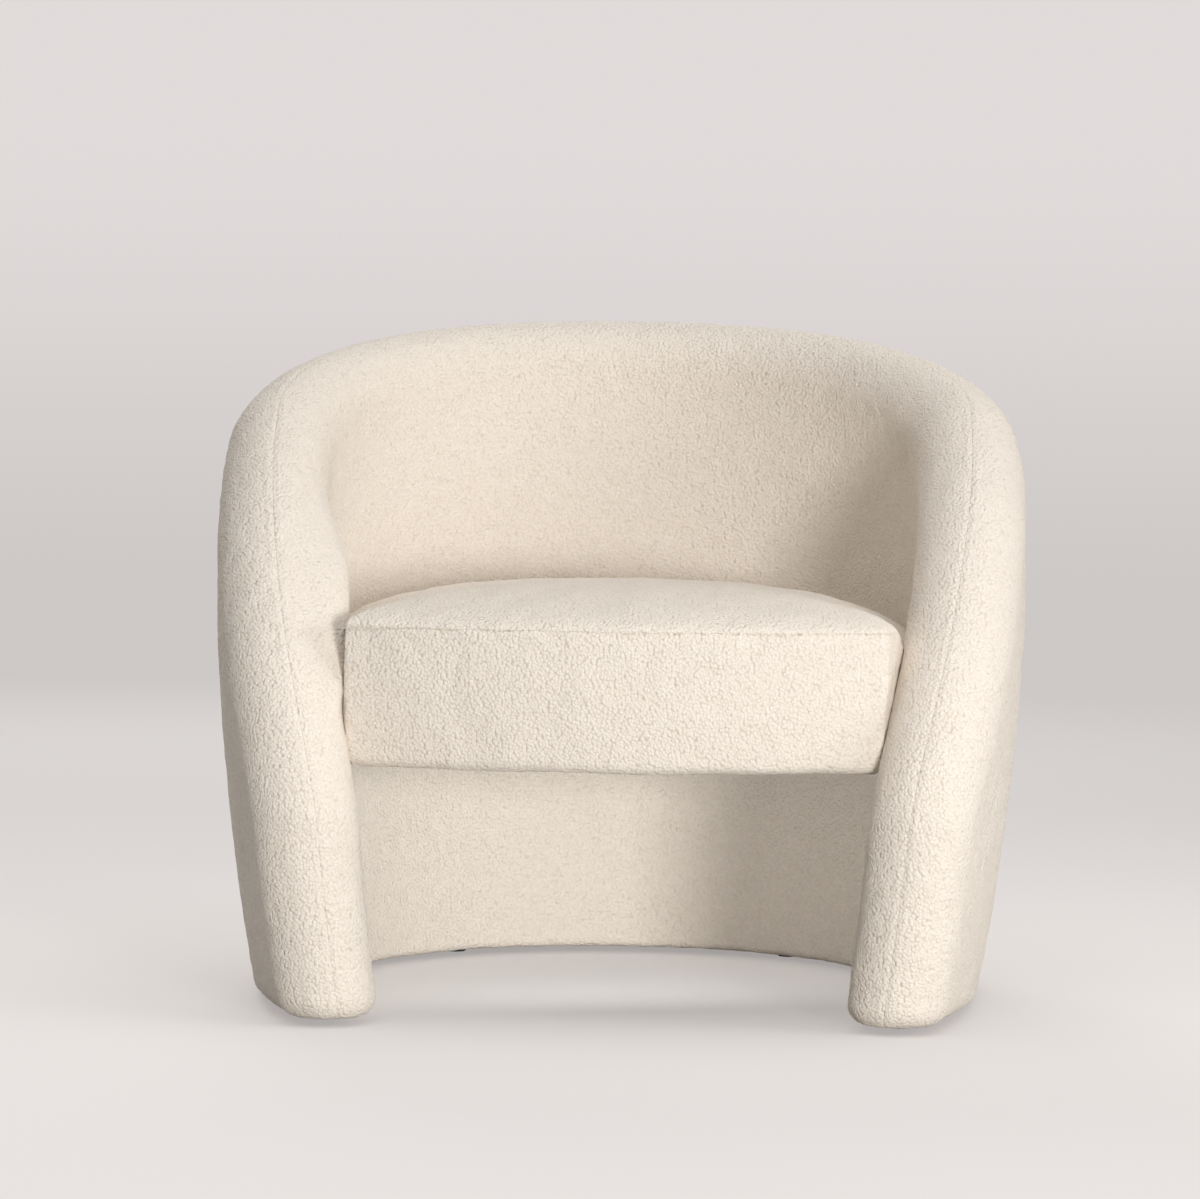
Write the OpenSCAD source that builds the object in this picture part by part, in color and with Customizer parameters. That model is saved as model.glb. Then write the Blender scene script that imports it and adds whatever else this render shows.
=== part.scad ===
// Tub chair: one thick padded shell makes the back and both arms, round a fixed upholstered seat.
// Millimetres, +Z up, the front faces -Y, and the origin is on the floor under the middle.

/* [Overall] */
// Width across the widest part of the arms
chair_w = 820; // [790:5:850]
// Depth from the arm fronts to the back
chair_d = 765; // [735:5:795]
// Height of the back
chair_h = 690; // [665:5:715]
// Thickness of the padded shell
shell_t = 108; // [102:1:114]
// Height of the fabric's lower edge above the floor
hem_z = 7; // [6:1:12]

/* [Shell line] */
// Long half axis of the ellipse that the arms follow
arm_curve = 632; // [610:1:650]
// Turn from the middle of the back to the middle of an arm front, in degrees
arm_end = 120; // [117:1:121]
// Turn at which the crest begins to round down into the arm, in degrees
shoulder_turn = 83; // [78:1:88]
// Height of the crest's centre line at the shoulder
shoulder_z = 556; // [540:1:570]
// Height at which the arm front has become upright
arm_front_z = 200; // [180:1:220]
// Height at which the shell is widest
belly_z = 400; // [380:1:420]
// How far the shell draws in at the floor
foot_tuck = 38; // [30:1:44]
// How far the shell draws in at the crest
top_tuck = 4; // [0:1:8]
// Part of the thickness that the shell loses at the floor
foot_thin_share = 0.107; // [0.05:0.01:0.15]

/* [Frame] */
// Thickness of the plywood
ply_t = 18; // [15:1:20]
// Width of the plywood across the shell
frame_w = 44; // [38:1:48]
// How far the frame's middle lies outside the shell's middle
frame_shift = 8; // [4:1:9]
// Thickness of the fibreboard skins
board_t = 3; // [2:0.5:4]
// How far the seat ledge reaches under the seat
ledge_reach = 56; // [48:1:64]

/* [Covers] */
// Thickness of the looped fabric
fabric_t = 3; // [2:0.5:4]
// Thickness of the black dust cloth
cloth_t = 1; // [0.6:0.1:1.5]
// Thickness of the fibre wrap over the seat foam
wrap_t = 10; // [6:1:14]

/* [Seat] */
// Height of the seat's lower front edge
seat_bottom_z = 246; // [240:1:250]
// Underside of the seat ledge
ledge_z = 262; // [258:1:266]
// Height of the sewn line along the top of the seat's front
seat_seam_z = 382; // [372:1:392]
// Height of the seat's edge beside the arms and the back
seat_side_z = 354; // [346:1:362]
// Highest point of the crowned seat
seat_top_z = 418; // [408:1:428]
// How far the seat's front bows forward between the arms
seat_bow = 45; // [30:1:55]
// Thickness of the front rail
rail_t = 22; // [18:1:25]
// Width of plywood left beside and behind the webbing's opening
web_rim_w = 52; // [45:1:60]
// Width of plywood left in front of the webbing's opening
web_front_w = 74; // [64:1:90]
// Width of one strap of webbing
strap_w = 50; // [40:1:56]
// Thickness of the webbing
strap_t = 1.5; // [1:0.1:2]

/* [Fastenings] */
// Radius of a floor glide
glide_r = 12; // [9:0.5:14]
// Radius of a wood screw
screw_r = 2; // [1.5:0.1:2.5]
// Length of a wood screw
screw_l = 45; // [35:1:50]
// Length of a glide's screw
glide_screw_l = 16; // [12:1:20]
// Radius of a seat bolt
bolt_r = 4; // [3:0.1:4.5]

/* [Hidden] */
$fn = 48;
// Running gap between pieces that are slid together
clear = 0.3;
// Room between the seat and the lining beside it
seat_gap = 1.2;
// Room between the flat ribs, or the crest rail, and the curved skins
rib_gap = 1.4;
// Room between the seat's band and the padding inside it
band_gap = 1;
// Run past a face, for cuts
over = 1;

crest_power = 2.2;
corner_power = 1.5;
tuck_power = 1.7;
dome_power = 3;
dome_edge_power = 0.6;

slope_steps = 9;
corner_steps = 6;
rim_steps = 4;
half_steps = slope_steps + corner_steps;
ledge_steps = slope_steps + 3;
seat_steps = half_steps - 1;
short_steps = seat_steps - 3;
split_steps = 5;
bow_steps = 8;

half_t = shell_t / 2;
mid_w = chair_w / 2 - half_t;
nose_y = -arm_curve * cos(arm_end);
front_reach = nose_y + half_at(arm_front_z) - plan_way(arm_end).x * drift(arm_front_z);
mid_d = chair_d - half_t - front_reach;
middle_y = (mid_d + half_t - front_reach) / 2;
crest_z = chair_h - half_t;

frame_out = frame_shift + frame_w / 2;
frame_in = frame_shift - frame_w / 2;
outer_core = frame_out + clear + board_t + clear;
inner_core = frame_in - clear - board_t - clear;
ledge_top = ledge_z + ply_t;
slot_low = ledge_z - clear;
slot_high = ledge_top + clear;
deck_z = ledge_top + clear;
deck_top = deck_z + ply_t;
strap_top = deck_top + 2 * strap_t;
cloth_z = hem_z - cloth_t;
base_top = hem_z + ply_t;

// Heights of the rows of the skins: fixed ones up to the seat ledge, then shares of what is left
inner_low = [hem_z, hem_z + (slot_low - hem_z) / 3, hem_z + (slot_low - hem_z) * 2 / 3, slot_low, slot_high];
outer_low = [hem_z, hem_z + (slot_low - hem_z) / 3, hem_z + (slot_low - hem_z) * 2 / 3, slot_low];
inner_rise_shares = [1/3, 2/3, 1];
outer_rise_shares = [1/2, 1];
dome_shares = [1, 0.93, 0.82, 0.62, 0.35];

rib_turns = [0, shoulder_turn / 3, shoulder_turn * 2 / 3, shoulder_turn, crest_turn(slope_steps + 2)];
glide_shares = [-0.96, -0.66, -0.28, 0.28, 0.66, 0.96];
bolt_shares = [-0.83, -0.51, -0.19, 0.19, 0.51, 0.83];

// The shell's middle line in plan: half an ellipse behind, and a longer one that brings the arms in
function plan_reach(t) = abs(t) > 90 ? arm_curve : mid_d;
function plan_point(t) = [mid_w * sin(t), plan_reach(t) * cos(t) - middle_y];
function plan_way(t) = let(v = [mid_w * cos(t), -plan_reach(t) * sin(t)]) v / norm(v);

// How far the shell lies out from its middle line, and half its thickness, at a height
function draw_in(z) = pow(max(0, 1 - z / belly_z), tuck_power);
function drift(z) = z < belly_z ? -foot_tuck * draw_in(z)
    : -top_tuck * pow((z - belly_z) / (chair_h - belly_z), 2);
function half_at(z) = half_t * (1 - foot_thin_share * draw_in(z));

// A point of the shell: turn round it, height, distance out from the middle, and distance ahead
function on_shell(t, z, out, ahead = 0) =
    let(p = plan_point(t), g = plan_way(t), n = out + drift(z))
    [p.x + g.x * ahead - g.y * n, p.y + g.y * ahead + g.x * n, z];
function flat_point(t, z, out, ahead = 0) = let(p = on_shell(t, z, out, ahead)) [p.x, p.y];

// The crest's centre line: column i runs from one arm front (-half_steps) to the other (half_steps)
function corner_angle(i) = 90 * max(0, abs(i) - slope_steps) / corner_steps;
function crest_turn(i) = sign(i) * (abs(i) <= slope_steps ? shoulder_turn * abs(i) / slope_steps
    : shoulder_turn + (arm_end - shoulder_turn) * sin(corner_angle(i)));
function slope_height(t) = crest_z - (crest_z - shoulder_z) * pow(abs(t) / shoulder_turn, crest_power);
function crest_height(i) = let(line = slope_height(crest_turn(i)))
    abs(i) <= slope_steps ? line
    : arm_front_z + (line - arm_front_z) * pow(max(0, cos(corner_angle(i))), corner_power);
// Which way is out of the crest, along the shell and up
function crest_lean(i) = abs(i) >= half_steps ? [sign(i), 0]
    : let(run = norm(plan_point(crest_turn(i + 1)) - plan_point(crest_turn(i - 1))),
          rise = crest_height(i + 1) - crest_height(i - 1))
      [-rise, run] / norm([rise, run]);

// Height of row k below a crest at height top; near the arm fronts all rows close up
function row_height(low, shares, k, top) =
    let(last = low[len(low) - 1], rows = len(low) + len(shares) - 1)
    top < last + ply_t / 2 ? hem_z + (top - hem_z) * k / rows
    : k < len(low) ? low[k] : last + (top - last) * shares[k - len(low)];

// Columns of a padded layer: the nose of one arm, the wall from arm to arm, the other nose
function column_of(c) = max(-half_steps, min(half_steps, c - rim_steps - half_steps));
function nose_of(c) = max(0, abs(c - rim_steps - half_steps) - half_steps);

// A point of a padded layer. Depth counts in from the fabric's face; a core other than 0 gives the
// flat side that lies on the frame instead. Shift moves it along the wall.
function layer_point(side, low, shares, c, r, depth, core, shift) =
    let(i = column_of(c), walls = len(low) + len(shares) - 1,
        lap = nose_of(c) > 0 ? nose_of(c) : max(0, r - walls),
        z = row_height(low, shares, min(r, walls), crest_height(i)),
        thick = half_at(z) - depth,
        angle = 90 * (1 - lap / rim_steps),
        reach = core == 0 ? thick * cos(angle) : lap > 0 ? clear : 0,
        flat = core == 0 ? thick * sin(angle) : abs(core) * (1 - lap / rim_steps),
        lean = nose_of(c) > 0 ? [sign(i), 0] : crest_lean(i))
    on_shell(crest_turn(i), z + reach * lean.y, side * max(flat, clear / 2), reach * lean.x + shift);

// The place of a point in the list: the top of a nose is the end of the crest's own rim
function layer_index(c, r, rows, walls) = nose_of(c) > 0 && r >= walls
    ? (column_of(c) + rim_steps + half_steps) * rows + walls + nose_of(c) : c * rows + r;

// Two triangles for the four corners of a patch, and for the strip that joins an edge's two skins
function patch(a, b, c, d) = [[a, b, c], [a, c, d]];
function under_patch(a, b, c, d, n) = [[c + n, b + n, a + n], [d + n, c + n, a + n]];
function edge_strip(a, b, n) = [[b, a, a + n], [b, a + n, b + n]];
function flipped(tris) = [for (t = tris) [t[2], t[1], t[0]]];
function joined(lists) = [for (l = lists) each l];

// A padded or sewn layer on one side of the crest seam, with an opening for the seat ledge if asked.
// It runs between two columns, and goes round an arm front where its run ends there.
module shell_layer(side, low, shares, depth, back_depth, core, slot, from = -half_steps, to = half_steps) {
    walls = len(low) + len(shares) - 1;
    rows = walls + rim_steps + 1;
    cols = 2 * (half_steps + rim_steps) + 1;
    first = rim_steps;
    last = cols - 1 - rim_steps;
    start = from == -half_steps ? 0 : rim_steps + half_steps + from;
    end = to == half_steps ? cols - 1 : rim_steps + half_steps + to;
    hole_row = len(low) - 2;
    hole_low = rim_steps + half_steps - ledge_steps;
    hole_high = rim_steps + half_steps + ledge_steps;
    hole_a = max(hole_low, start);
    hole_b = min(hole_high, end);
    n = cols * rows;
    function id(c, r) = layer_index(c, r, rows, walls);
    function cut(c, r) = slot && r == hole_row && c >= hole_a && c < hole_b;
    function shift(c) = start > 0 && c == start ? clear / 2 : end < cols - 1 && c == end ? -clear / 2 : 0;
    function skipped(c, r) = cut(c, r) || (r >= walls && (c < first || c >= last));
    function open(c, r) = slot && r == hole_row && c >= hole_low && c <= hole_high;
    skins = joined([for (c = [start : end - 1], r = [0 : rows - 2]) if (!skipped(c, r))
        concat(patch(id(c, r), id(c + 1, r), id(c + 1, r + 1), id(c, r + 1)),
               under_patch(id(c, r), id(c + 1, r), id(c + 1, r + 1), id(c, r + 1), n))]);
    hems = joined([for (c = [start : end - 1]) edge_strip(id(c, 0), id(c + 1, 0), n)]);
    seams = joined([for (c = [max(first, start) : min(last, end) - 1])
        edge_strip(id(c + 1, rows - 1), id(c, rows - 1), n)]);
    ends = joined(concat(
        [for (r = [0 : (start > 0 ? rows - 2 : walls - 1)]) if (start == 0 || !open(start, r))
            edge_strip(id(start, r + 1), id(start, r), n)],
        [for (r = [0 : (end < cols - 1 ? rows - 2 : walls - 1)]) if (end == cols - 1 || !open(end, r))
            edge_strip(id(end, r), id(end, r + 1), n)]));
    slot_sides = !slot ? [] : concat(
        joined([for (c = [hole_a : hole_b - 1])
            concat(edge_strip(id(c + 1, hole_row), id(c, hole_row), n),
                   edge_strip(id(c, hole_row + 1), id(c + 1, hole_row + 1), n))]),
        hole_low < start ? [] : edge_strip(id(hole_a, hole_row), id(hole_a, hole_row + 1), n),
        hole_high > end ? [] : edge_strip(id(hole_b, hole_row + 1), id(hole_b, hole_row), n));
    all_faces = concat(skins, hems, seams, ends, slot_sides);
    points = concat(
        [for (c = [0 : cols - 1], r = [0 : rows - 1])
            layer_point(side, low, shares, c, r, depth, 0, shift(c))],
        [for (c = [0 : cols - 1], r = [0 : rows - 1])
            layer_point(side, low, shares, c, r, back_depth, core, shift(c))]);
    polyhedron(points, side > 0 ? all_faces : flipped(all_faces), convexity = 10);
}

// A fibreboard skin between two distances out from the middle, from the hem to the crest rail
module skin_board(low, shares, near, far, slot) {
    walls = len(low) + len(shares) - 1;
    rows = walls + 1;
    cols = 2 * half_steps + 1;
    hole_row = len(low) - 2;
    hole_a = half_steps - ledge_steps;
    hole_b = half_steps + ledge_steps;
    n = cols * rows;
    function id(c, r) = c * rows + r;
    function cut(c, r) = slot && r == hole_row && c >= hole_a && c < hole_b;
    skins = joined([for (c = [0 : cols - 2], r = [0 : rows - 2]) if (!cut(c, r))
        concat(patch(id(c, r), id(c + 1, r), id(c + 1, r + 1), id(c, r + 1)),
               under_patch(id(c, r), id(c + 1, r), id(c + 1, r + 1), id(c, r + 1), n))]);
    edges = joined([for (c = [0 : cols - 2])
        concat(edge_strip(id(c, 0), id(c + 1, 0), n), edge_strip(id(c + 1, walls), id(c, walls), n))]);
    ends = joined([for (r = [0 : walls - 1])
        concat(edge_strip(id(0, r + 1), id(0, r), n), edge_strip(id(cols - 1, r), id(cols - 1, r + 1), n))]);
    slot_sides = !slot ? [] : concat(
        joined([for (c = [hole_a : hole_b - 1])
            concat(edge_strip(id(c + 1, hole_row), id(c, hole_row), n),
                   edge_strip(id(c, hole_row + 1), id(c + 1, hole_row + 1), n))]),
        edge_strip(id(hole_a, hole_row), id(hole_a, hole_row + 1), n),
        edge_strip(id(hole_b, hole_row + 1), id(hole_b, hole_row), n));
    function spot(c, r, out) = let(i = c - half_steps)
        on_shell(crest_turn(i), row_height(low, shares, r, crest_height(i)), out);
    polyhedron(concat(
        [for (c = [0 : cols - 1], r = [0 : rows - 1]) spot(c, r, far)],
        [for (c = [0 : cols - 1], r = [0 : rows - 1]) spot(c, r, near)]),
        concat(skins, edges, ends, slot_sides), convexity = 10);
}

// A C of plywood that follows the shell, drawn with the same corners as the skins beside it
module c_ring(z, thick, out_z, out, in_z, in, steps, end_gap = 0) {
    translate([0, 0, z]) linear_extrude(thick) polygon(concat(
        [for (i = [-steps : steps])
            flat_point(crest_turn(i), out_z, out, abs(i) == steps ? -sign(i) * end_gap : 0)],
        [for (i = [steps : -1 : -steps])
            flat_point(crest_turn(i), in_z, in, abs(i) == steps ? -sign(i) * end_gap : 0)]));
}

// The outline of the shell's foot, set in by a distance, with its rounded arm fronts
function hem_outline(in) =
    let(r = half_at(hem_z) - in, turns = [for (k = [1 : 2 * rim_steps - 1]) 90 - 90 * k / rim_steps]) concat(
    [for (i = [-half_steps : half_steps]) flat_point(crest_turn(i), hem_z, r)],
    [for (a = turns) flat_point(arm_end, hem_z, r * sin(a), r * cos(a))],
    [for (i = [half_steps : -1 : -half_steps]) flat_point(crest_turn(i), hem_z, -r)],
    [for (a = turns) flat_point(-arm_end, hem_z, -r * sin(a), -r * cos(a))]);

// Stands its children on the shell's middle line, with +X into the chair and +Y along the shell
module on_line(t, out = 0, z = 0) {
    p = flat_point(t, z, out);
    g = plan_way(t);
    translate([p.x, p.y, z]) rotate([0, 0, atan2(g.y, g.x) - 90]) children();
}

module glide_place(s) {
    p = flat_point(s * arm_end, hem_z, frame_shift);
    translate([p.x, p.y, 0]) children();
}

module wood_screw(length) {
    head_r = 2 * screw_r;
    head_h = 1.2 * screw_r;
    cylinder(h = length, r = screw_r);
    cylinder(h = head_h, r1 = head_r, r2 = screw_r);
}

module screw_hole(length) {
    head_r = 2 * screw_r;
    head_h = 1.2 * screw_r;
    translate([0, 0, -over]) cylinder(h = length + over + clear, r = screw_r + clear / 2);
    translate([0, 0, -over]) cylinder(h = over, r = head_r + clear);
    cylinder(h = head_h + clear, r1 = head_r + clear, r2 = screw_r + clear / 2);
}

// Padding and covers of the shell
module outer_cover() {
    color("ivory") shell_layer(1, outer_low, outer_rise_shares, 0, fabric_t, 0, false);
}

module inner_cover() {
    color("seashell") shell_layer(-1, inner_low, inner_rise_shares, 0, fabric_t, 0, true);
}

// The padding is cut into a left, a back and a right piece, which meet edge to edge
module outer_foam(from, to) {
    color("khaki")
        shell_layer(1, outer_low, outer_rise_shares, fabric_t + clear, 0, outer_core, false, from, to);
}

module inner_foam(from, to) {
    color("palegoldenrod")
        shell_layer(-1, inner_low, inner_rise_shares, fabric_t + clear, 0, inner_core, true, from, to);
}

module outer_board() {
    color("peru")
        skin_board(outer_low, outer_rise_shares, frame_out + clear, frame_out + clear + board_t, false);
}

module inner_board() {
    color("peru")
        skin_board(inner_low, inner_rise_shares, frame_in - clear - board_t, frame_in - clear, true);
}

// Plywood frame of the shell
rib_list = [for (side = [-1, 1], k = [1 : len(rib_turns) - 1]) side * rib_turns[k]];
post_turn = arm_end;
post_ahead = -ply_t / 2;

module base_ring() {
    color("burlywood") difference() {
        c_ring(hem_z, ply_t, hem_z, frame_out, base_top, frame_in, half_steps);
        for (t = concat([0], rib_list)) on_line(t, frame_shift, hem_z) screw_hole(screw_l);
        for (side = [-1, 1]) on_line(side * post_turn, frame_shift, hem_z)
            translate([0, side * post_ahead, 0]) screw_hole(screw_l);
        for (s = glide_shares) glide_place(s) cylinder(h = 2 * glide_screw_l, r = screw_r + clear / 2);
    }
}

module seat_ledge() {
    color("burlywood") difference() {
        c_ring(ledge_z, ply_t, ledge_z, frame_shift, ledge_top, -half_t - ledge_reach, ledge_steps, 2 * clear);
        for (s = bolt_shares) seat_bolt_place(s) {
            translate([0, 0, ledge_z - over]) cylinder(h = ply_t + 2 * over, r = bolt_r + clear);
            translate([0, 0, ledge_z - over]) cylinder(h = over + recess_h, r = washer_r + clear);
        }
    }
}

// A strip laminated along the crest and down the arms, which lies on the ribs
module crest_rail() {
    steps = half_steps;
    top = 2 * clear;
    out = frame_out - rib_gap;
    in = frame_in + rib_gap;
    function corner(i, down, across) = let(lean = crest_lean(i))
        on_shell(crest_turn(i), crest_height(i) - down * lean.y, across, -down * lean.x);
    points = [for (i = [-steps : steps]) each [
        corner(i, top, out), corner(i, top, in), corner(i, ply_t, in), corner(i, ply_t, out)]];
    walls = joined([for (c = [0 : 2 * steps - 1], k = [0 : 3])
        patch(4 * c + k, 4 * c + (k + 1) % 4, 4 * c + 4 + (k + 1) % 4, 4 * c + 4 + k)]);
    end = 8 * steps;
    color("tan") polyhedron(points, concat(walls, patch(3, 2, 1, 0),
        patch(end, end + 1, end + 2, end + 3)), convexity = 10);
}

// An upright of plywood across the shell at column i, notched for the seat ledge. Its edges have the
// rows of the skins beside it.
module rib(i, t, height, shift = 0, notched = true) {
    foot = base_top + clear;
    notch = frame_shift + clear + drift(ledge_z);
    function rows(low, shares) = concat([foot], [
        for (r = [0 : len(low) + len(shares) - 1])
            let(z = row_height(low, shares, r, crest_height(i))) if (z > foot && z < height) z], [height]);
    function inside(z) = [frame_in + rib_gap + drift(z), z];
    inner_rows = rows(inner_low, inner_rise_shares);
    outline = concat(
        [for (z = rows(outer_low, outer_rise_shares)) [frame_out - rib_gap + drift(z), z]],
        [for (k = [len(inner_rows) - 1 : -1 : 0]) let(z = inner_rows[k]) each
            (notched && z == slot_high ? [inside(z), [notch, z]]
            : notched && z == slot_low ? [[notch, z], inside(z)] : [inside(z)])]);
    p = plan_point(t);
    g = plan_way(t);
    color("wheat") difference() {
        translate([p.x + g.x * shift, p.y + g.y * shift, 0])
            rotate([0, 0, atan2(g.y, g.x) + 90]) rotate([90, 0, 0])
            linear_extrude(ply_t, center = true) polygon(outline);
        on_line(t, frame_shift, hem_z) translate([0, shift, 0])
            cylinder(h = screw_l + clear, r = screw_r + clear / 2);
    }
}

// Height of the crest rail's underside over a column, less what a rib's thickness takes on a slope
slope_share = 0.8;
function rail_under(i) = let(lean = crest_lean(i))
    crest_height(i) - ply_t / lean.y - abs(lean.x / lean.y) * ply_t * slope_share - 2 * clear;

module numbered_rib(side, k) {
    i = k < 4 ? k * slope_steps / 3 : slope_steps + 2;
    rib(i, side * rib_turns[k], rail_under(i));
}

module arm_post(side) {
    rib(half_steps, side * post_turn, arm_front_z - clear, side * post_ahead, false);
}

// The outline of the seat at a height, set in from the lining at the sides and from the front
function seat_side(i, z, side_in, front_in) =
    let(ahead = abs(i) == seat_steps ? -sign(i) * front_in : 0)
    on_shell(crest_turn(i), z, -half_at(z) - seat_gap - side_in, ahead);
function seat_front(share, z, side_in, front_in) =
    let(a = seat_side(seat_steps, z, side_in, front_in), b = seat_side(-seat_steps, z, side_in, front_in))
    a + (b - a) * share - [0, 4 * seat_bow * share * (1 - share), 0];
function seat_ring(z, side_in, front_in) = concat(
    [for (i = [-seat_steps : seat_steps]) seat_side(i, z, side_in, front_in)],
    [for (k = [1 : bow_steps - 1]) seat_front(k / bow_steps, z, side_in, front_in)]);
function seat_spot(k, z, side_in, front_in) = k <= 2 * seat_steps
    ? seat_side(k - seat_steps, z, side_in, front_in)
    : seat_front((k - 2 * seat_steps) / bow_steps, z, side_in, front_in);
seat_points = 2 * seat_steps + bow_steps;

// How far a point of the outline belongs to the front: 0 at the sides and back, 1 along the front
function front_share(k) = k > 2 * seat_steps ? 1
    : let(t = abs(crest_turn(k - seat_steps)), a = crest_turn(seat_steps - 2), b = crest_turn(seat_steps))
      max(0, (t - a) / (b - a));
function blend(k, side, front) = side + (front - side) * front_share(k);
function edge_height(k) = blend(k, seat_side_z, seat_seam_z);
function dome_height(k, share) = edge_height(k)
    + (seat_top_z - edge_height(k)) * pow(max(0, 1 - pow(share, dome_power)), dome_edge_power);
seat_heart = [0, (mid_d - nose_y) / 2 - middle_y - seat_bow / 2];
function dome_point(k, share, in, drop) =
    let(p = seat_spot(k, edge_height(k), in, in))
    [seat_heart.x + (p.x - seat_heart.x) * share, seat_heart.y + (p.y - seat_heart.y) * share,
     dome_height(k, share) - drop];

// Closed rings of points joined into a wall, ring by ring
function ring_walls(first, count, rings, size) = joined([for (r = [0 : rings - 2], k = [0 : count - 1])
    let(a = first + r * size + k, b = first + r * size + (k + 1) % count)
    patch(b, a, a + size, b + size)]);

// A crowned layer of the seat between an upper and a lower face
module seat_cap(in, drop, low_in, low_drop, low_edge) {
    m = seat_points;
    tiers = len(dome_shares);
    upper = [for (s = dome_shares, k = [0 : m - 1]) dome_point(k, s, in, drop)];
    lower = [for (s = dome_shares, k = [0 : m - 1]) dome_point(k, s, low_in, s == 1 ? low_edge : low_drop)];
    top = [seat_heart.x, seat_heart.y, seat_top_z - drop];
    bottom = [seat_heart.x, seat_heart.y, seat_top_z - low_drop];
    n = m * tiers;
    polyhedron(concat(upper, lower, [top, bottom]), concat(
        ring_walls(0, m, tiers, m), flipped(ring_walls(n, m, tiers, m)),
        [for (k = [0 : m - 1]) [n - m + (k + 1) % m, n - m + k, 2 * n]],
        [for (k = [0 : m - 1]) [2 * n - m + k, 2 * n - m + (k + 1) % m, 2 * n + 1]],
        joined([for (k = [0 : m - 1]) patch(k, (k + 1) % m, n + (k + 1) % m, n + k)])), convexity = 6);
}

module seat_top_panel() {
    color("ivory") translate([0, 0, 2 * clear]) seat_cap(0, 0, fabric_t, fabric_t, 0);
}

module seat_fibre_wrap() {
    in = fabric_t + band_gap;
    drop = fabric_t + clear;
    color("whitesmoke") seat_cap(in, drop, in, drop + wrap_t, drop + wrap_t);
}

module seat_foam() {
    m = seat_points;
    in = fabric_t + band_gap;
    drop = fabric_t + clear + wrap_t + clear;
    tiers = len(dome_shares);
    foot = strap_top + clear;
    waist_in = 3 * fabric_t;
    rows = concat(
        [for (k = [0 : m - 1]) let(p = seat_spot(k, foot, in, in)) [p.x, p.y, foot]],
        [for (k = [0 : m - 1]) let(z = (foot + edge_height(k) - drop) / 2, p = seat_spot(k, z, waist_in, in))
            [p.x, p.y, z]],
        [for (s = dome_shares, k = [0 : m - 1]) dome_point(k, s, in, drop)]);
    n = len(rows);
    color("lightyellow") polyhedron(
        concat(rows, [[seat_heart.x, seat_heart.y, seat_top_z - drop], [seat_heart.x, seat_heart.y, foot]]),
        concat(ring_walls(0, m, tiers + 2, m),
            [for (k = [0 : m - 1]) [n - m + (k + 1) % m, n - m + k, n]],
            [for (k = [0 : m - 1]) [k, (k + 1) % m, n + 1]]), convexity = 4);
}

// The band round the seat: it turns under the front rail, and ends on the ledge at the sides
border_side_z = deck_z + 2 * clear;
turn_r = 8;
lip_side = fabric_t + clear;
module seat_border() {
    m = seat_points;
    swell = fabric_t;
    function low(k) = blend(k, border_side_z, seat_bottom_z);
    function bend(k) = blend(k, fabric_t, turn_r);
    function mid(k) = (low(k) + edge_height(k)) / 2;
    function lip(k) = blend(k, fabric_t + lip_side, 2 * fabric_t + pad_t + rail_t);
    function ring(depth) = concat(
        [for (k = [0 : m - 1]) seat_spot(k, low(k) + depth, lip(k), lip(k))],
        [for (k = [0 : m - 1]) seat_spot(k, low(k) + depth, bend(k) + depth / 2, bend(k) + depth / 2)],
        [for (k = [0 : m - 1]) seat_spot(k, low(k) + bend(k), depth, depth)],
        [for (k = [0 : m - 1]) seat_spot(k, mid(k), depth, depth - swell * front_share(k))],
        [for (k = [0 : m - 1]) seat_spot(k, edge_height(k), depth, depth)]);
    tiers = 5;
    n = m * tiers;
    color("seashell") polyhedron(concat(ring(0), ring(fabric_t)), concat(
        ring_walls(0, m, tiers, m), flipped(ring_walls(n, m, tiers, m)),
        joined([for (k = [0 : m - 1]) patch(k, (k + 1) % m, n + (k + 1) % m, n + k)]),
        joined([for (k = [0 : m - 1])
            patch(n - m + (k + 1) % m, n - m + k, 2 * n - m + k, 2 * n - m + (k + 1) % m)])), convexity = 10);
}

// Seat base: a plywood deck with webbing over its opening, on the ledge, and a rail below its front
pad_t = 10;
deck_in = fabric_t + pad_t + 2 * clear;
rail_z = seat_bottom_z + fabric_t + clear;
web_side_in = deck_in + web_rim_w;
web_front_in = deck_in + web_front_w;
web_corner = seat_front(0, deck_z, web_side_in, web_front_in);
web_back_y = seat_side(0, deck_z, web_side_in, 0).y;
web_y = (web_corner.y + web_back_y) / 2;
strap_hold = 24;
strap_gap = 20;
washer_r = 9;
washer_t = 1.6;
bolt_head_h = 5.3;
recess_h = washer_t + bolt_head_h + clear;
nut_r = 5.2;
nut_h = 10;
nut_flange_r = 11;
nut_flange_t = 1.5;
bolt_in = ledge_reach / 2;
rail_screw_shares = [0.15, 0.38, 0.62, 0.85];

function flat(points) = [for (p = points) [p.x, p.y]];

// The outline of the webbing's opening, or a larger one
function web_ring(more) = flat(concat(
    [for (i = [-short_steps : short_steps]) seat_side(i, deck_z, web_side_in - more, 0)],
    [for (k = [0 : bow_steps]) seat_front(k / bow_steps, deck_z, web_side_in - more, web_front_in - more)]));

module seat_bolt_place(s) {
    p = flat_point(s * arm_end, ledge_top, -half_t - bolt_in);
    translate([p.x, p.y, 0]) children();
}

module rail_screw_place(s) {
    p = seat_front(s, deck_z, deck_in, deck_in + rail_t / 2);
    translate([p.x, p.y, deck_top]) mirror([0, 0, 1]) children();
}

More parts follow.
